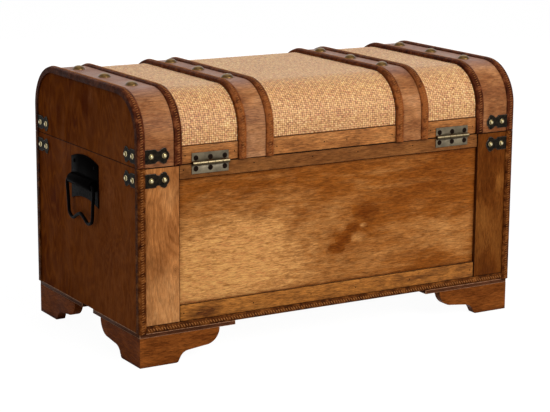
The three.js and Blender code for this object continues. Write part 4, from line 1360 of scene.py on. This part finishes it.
def handle_plate():
    face = END_FACE + PLATE_THICKNESS
    lower, upper = [], []
    for i in range(ARCH_STEPS + 1):
        share = 2 * i / ARCH_STEPS - 1
        rise = PLATE_ARCH * (1 - share * share)
        lower.append((PLATE_HALF_WIDTH * share, HANDLE_PIVOT - PLATE_HALF_HEIGHT + rise))
        upper.append((PLATE_HALF_WIDTH * share, HANDLE_PIVOT + PLATE_HALF_HEIGHT + rise))
    plate = solid("plate", prism("x", lower + upper[::-1], END_FACE, face))
    plate = rounded(plate, 0.4, edge_finish=1)
    turns = [math.pi * i / ARCH_STEPS for i in range(ARCH_STEPS + 1)]
    arch = [(HANDLE_PIVOT + HOUSING_HALF_HEIGHT * math.cos(t), face + HOUSING_REACH * math.sin(t))
            for t in turns]
    arch += [(HANDLE_PIVOT - HOUSING_HALF_HEIGHT, END_FACE + 0.4),
             (HANDLE_PIVOT + HOUSING_HALF_HEIGHT, END_FACE + 0.4)]
    housing = solid("housing", prism("y", arch, -HOUSING_HALF_LENGTH, HOUSING_HALF_LENGTH))
    axis = (HANDLE_PIVOT, face + BAIL_STANDOFF)
    floor = HOUSING_HALF_LENGTH - SOCKET_DEPTH
    holes = [bar("y", axis, BAIL_RADIUS + FIT_GAP, floor, HOUSING_HALF_LENGTH + 2),
             bar("y", axis, BAIL_RADIUS + FIT_GAP, -HOUSING_HALF_LENGTH - 2, -floor)]
    housing = rounded(cut(housing, holes), 0.8, sharp=50, edge_finish=1)
    return smoothed(merged("plate", [plate, housing], black_iron, iron_edge_wear_and_painted_highlight), 35)


def handles():
    plate = handle_plate()
    spots = []
    for end, x in ENDS:
        node = "handle_plate_" + end
        placed(twinned("iron_" + node, plate, x), "case", "iron", node)
        bail = smoothed(solid("iron_bail_" + end, bail_shape().mirrored(x), bail_iron), 60)
        placed(bail, "handle_" + end, "iron", "bail_" + end)
        for y in (-RIVET_SETBACK, RIVET_SETBACK):
            place = (x * (END_FACE + PLATE_THICKNESS), y, HANDLE_PIVOT + RIVET_RISE)
            spots.append((place, (x, 0, 0)))
    bpy.data.objects.remove(plate)
    set_heads("rivets_of_handles", "case", "iron", rivet, spots, black_iron, 6)


def catch():
    for node, body in (("catch_tongue", "lid"), ("catch_keeper", "case")):
        piece = rounded(copied(node, "brass_" + node, hinge_brass), 0.4)
        placed(piece, body, "brass", node)


case_boards()
lid_boards()
corner_leathers()
strap_leathers()
bottom_trims()
sewn_seams()
woven_cover()
feet()
brackets()
strap_nails()
brads()
hinges()
handles()
catch()
for original in originals:
    bpy.data.objects.remove(original)


FLOOR_HALF = 6000
FLOOR_GLOW = 1.18
FLOOR_GLOW_SHARE = 0.82
AMBIENT = 0.28


def stage_floor():
    """A plain pale floor, which stays white for the camera and keeps the shadow."""
    material = bpy.data.materials.new("pale floor")
    tree = emptied_tree(material)
    lit = add(tree, "ShaderNodeBsdfDiffuse", {"Color": (0.5, 0.5, 0.5, 1)})
    glow = add(tree, "ShaderNodeEmission", {"Color": (1, 1, 1, 1), "Strength": FLOOR_GLOW})
    share = sums(tree, "MULTIPLY", seen_directly(tree), FLOOR_GLOW_SHARE)
    both = add(tree, "ShaderNodeMixShader", {0: share, 1: lit.outputs[0], 2: glow.outputs[0]})
    add(tree, "ShaderNodeOutputMaterial", {"Surface": both.outputs[0]})
    corners = [(x * FLOOR_HALF, y * FLOOR_HALF, 0)
               for x, y in ((-1, -1), (1, -1), (1, 1), (-1, 1))]
    shown("floor", Shape(corners, [(0, 1, 2, 3)]), material)


def seen_directly(tree):
    """1 for a ray from the camera, off a gloss or through a glass, and 0 for the others."""
    path = add(tree, "ShaderNodeLightPath").outputs
    glossy = sums(tree, "MAXIMUM", path["Is Glossy Ray"], path["Is Transmission Ray"])
    return sums(tree, "MAXIMUM", path["Is Camera Ray"], glossy)


def stage_world():
    world = bpy.data.worlds.new("studio")
    bpy.context.scene.world = world
    tree = emptied_tree(world)
    strength = sums(tree, "MAXIMUM", seen_directly(tree), AMBIENT)
    sky = add(tree, "ShaderNodeBackground", {"Color": (1, 1, 1, 1), "Strength": strength})
    add(tree, "ShaderNodeOutputWorld", {"Surface": sky.outputs[0]})


def soft_light(name, place, target, size, power, mirrored=True):
    """A square lamp. One that isn't mirrored lights the object without a reflection in it."""
    lamp = bpy.data.lights.new(name, "AREA")
    lamp.shape = "SQUARE"
    lamp.size = size
    lamp.energy = power
    light = linked(name, lamp)
    light.location = place
    light.visible_glossy = mirrored
    aim = Vector(target) - Vector(place)
    light.rotation_euler = aim.to_track_quat("-Z", "Y").to_euler()


CAMERA_PLACE = (1.44437, 2.42270, 0.79654)
CAMERA_YAW = math.radians(149.197)
CAMERA_PITCH = math.radians(12.529)
CAMERA_ROLL = math.radians(0.417)
LENS = 119.5


def stage_camera():
    back = Vector((math.sin(CAMERA_YAW) * math.cos(CAMERA_PITCH),
                   -math.cos(CAMERA_YAW) * math.cos(CAMERA_PITCH), math.sin(CAMERA_PITCH)))
    right = Vector((0, 0, 1)).cross(back).normalized()
    up = back.cross(right)
    cosine, sine = math.cos(CAMERA_ROLL), math.sin(CAMERA_ROLL)
    axes = Matrix((cosine * right + sine * up, cosine * up - sine * right, back)).transposed()
    lens = bpy.data.cameras.new("camera")
    lens.lens = LENS
    lens.sensor_width = 36
    lens.sensor_fit = "HORIZONTAL"
    camera = linked("camera", lens)
    camera.matrix_world = Matrix.Translation(CAMERA_PLACE) @ axes.to_4x4()
    bpy.context.scene.camera = camera


bpy.context.scene.view_settings.view_transform = "Standard"
stage_camera()
stage_world()
stage_floor()
soft_light("key", (-0.6, 3.2, 2.0), (0, 0, 0.2), 1.8, 95)
soft_light("overhead", (0.2, 0.6, 3.0), (0, 0, 0.3), 1.6, 10)
soft_light("fill", (-1.4, -2.8, 1.0), (0, 0, 0.2), 1.8, 26, mirrored=False)
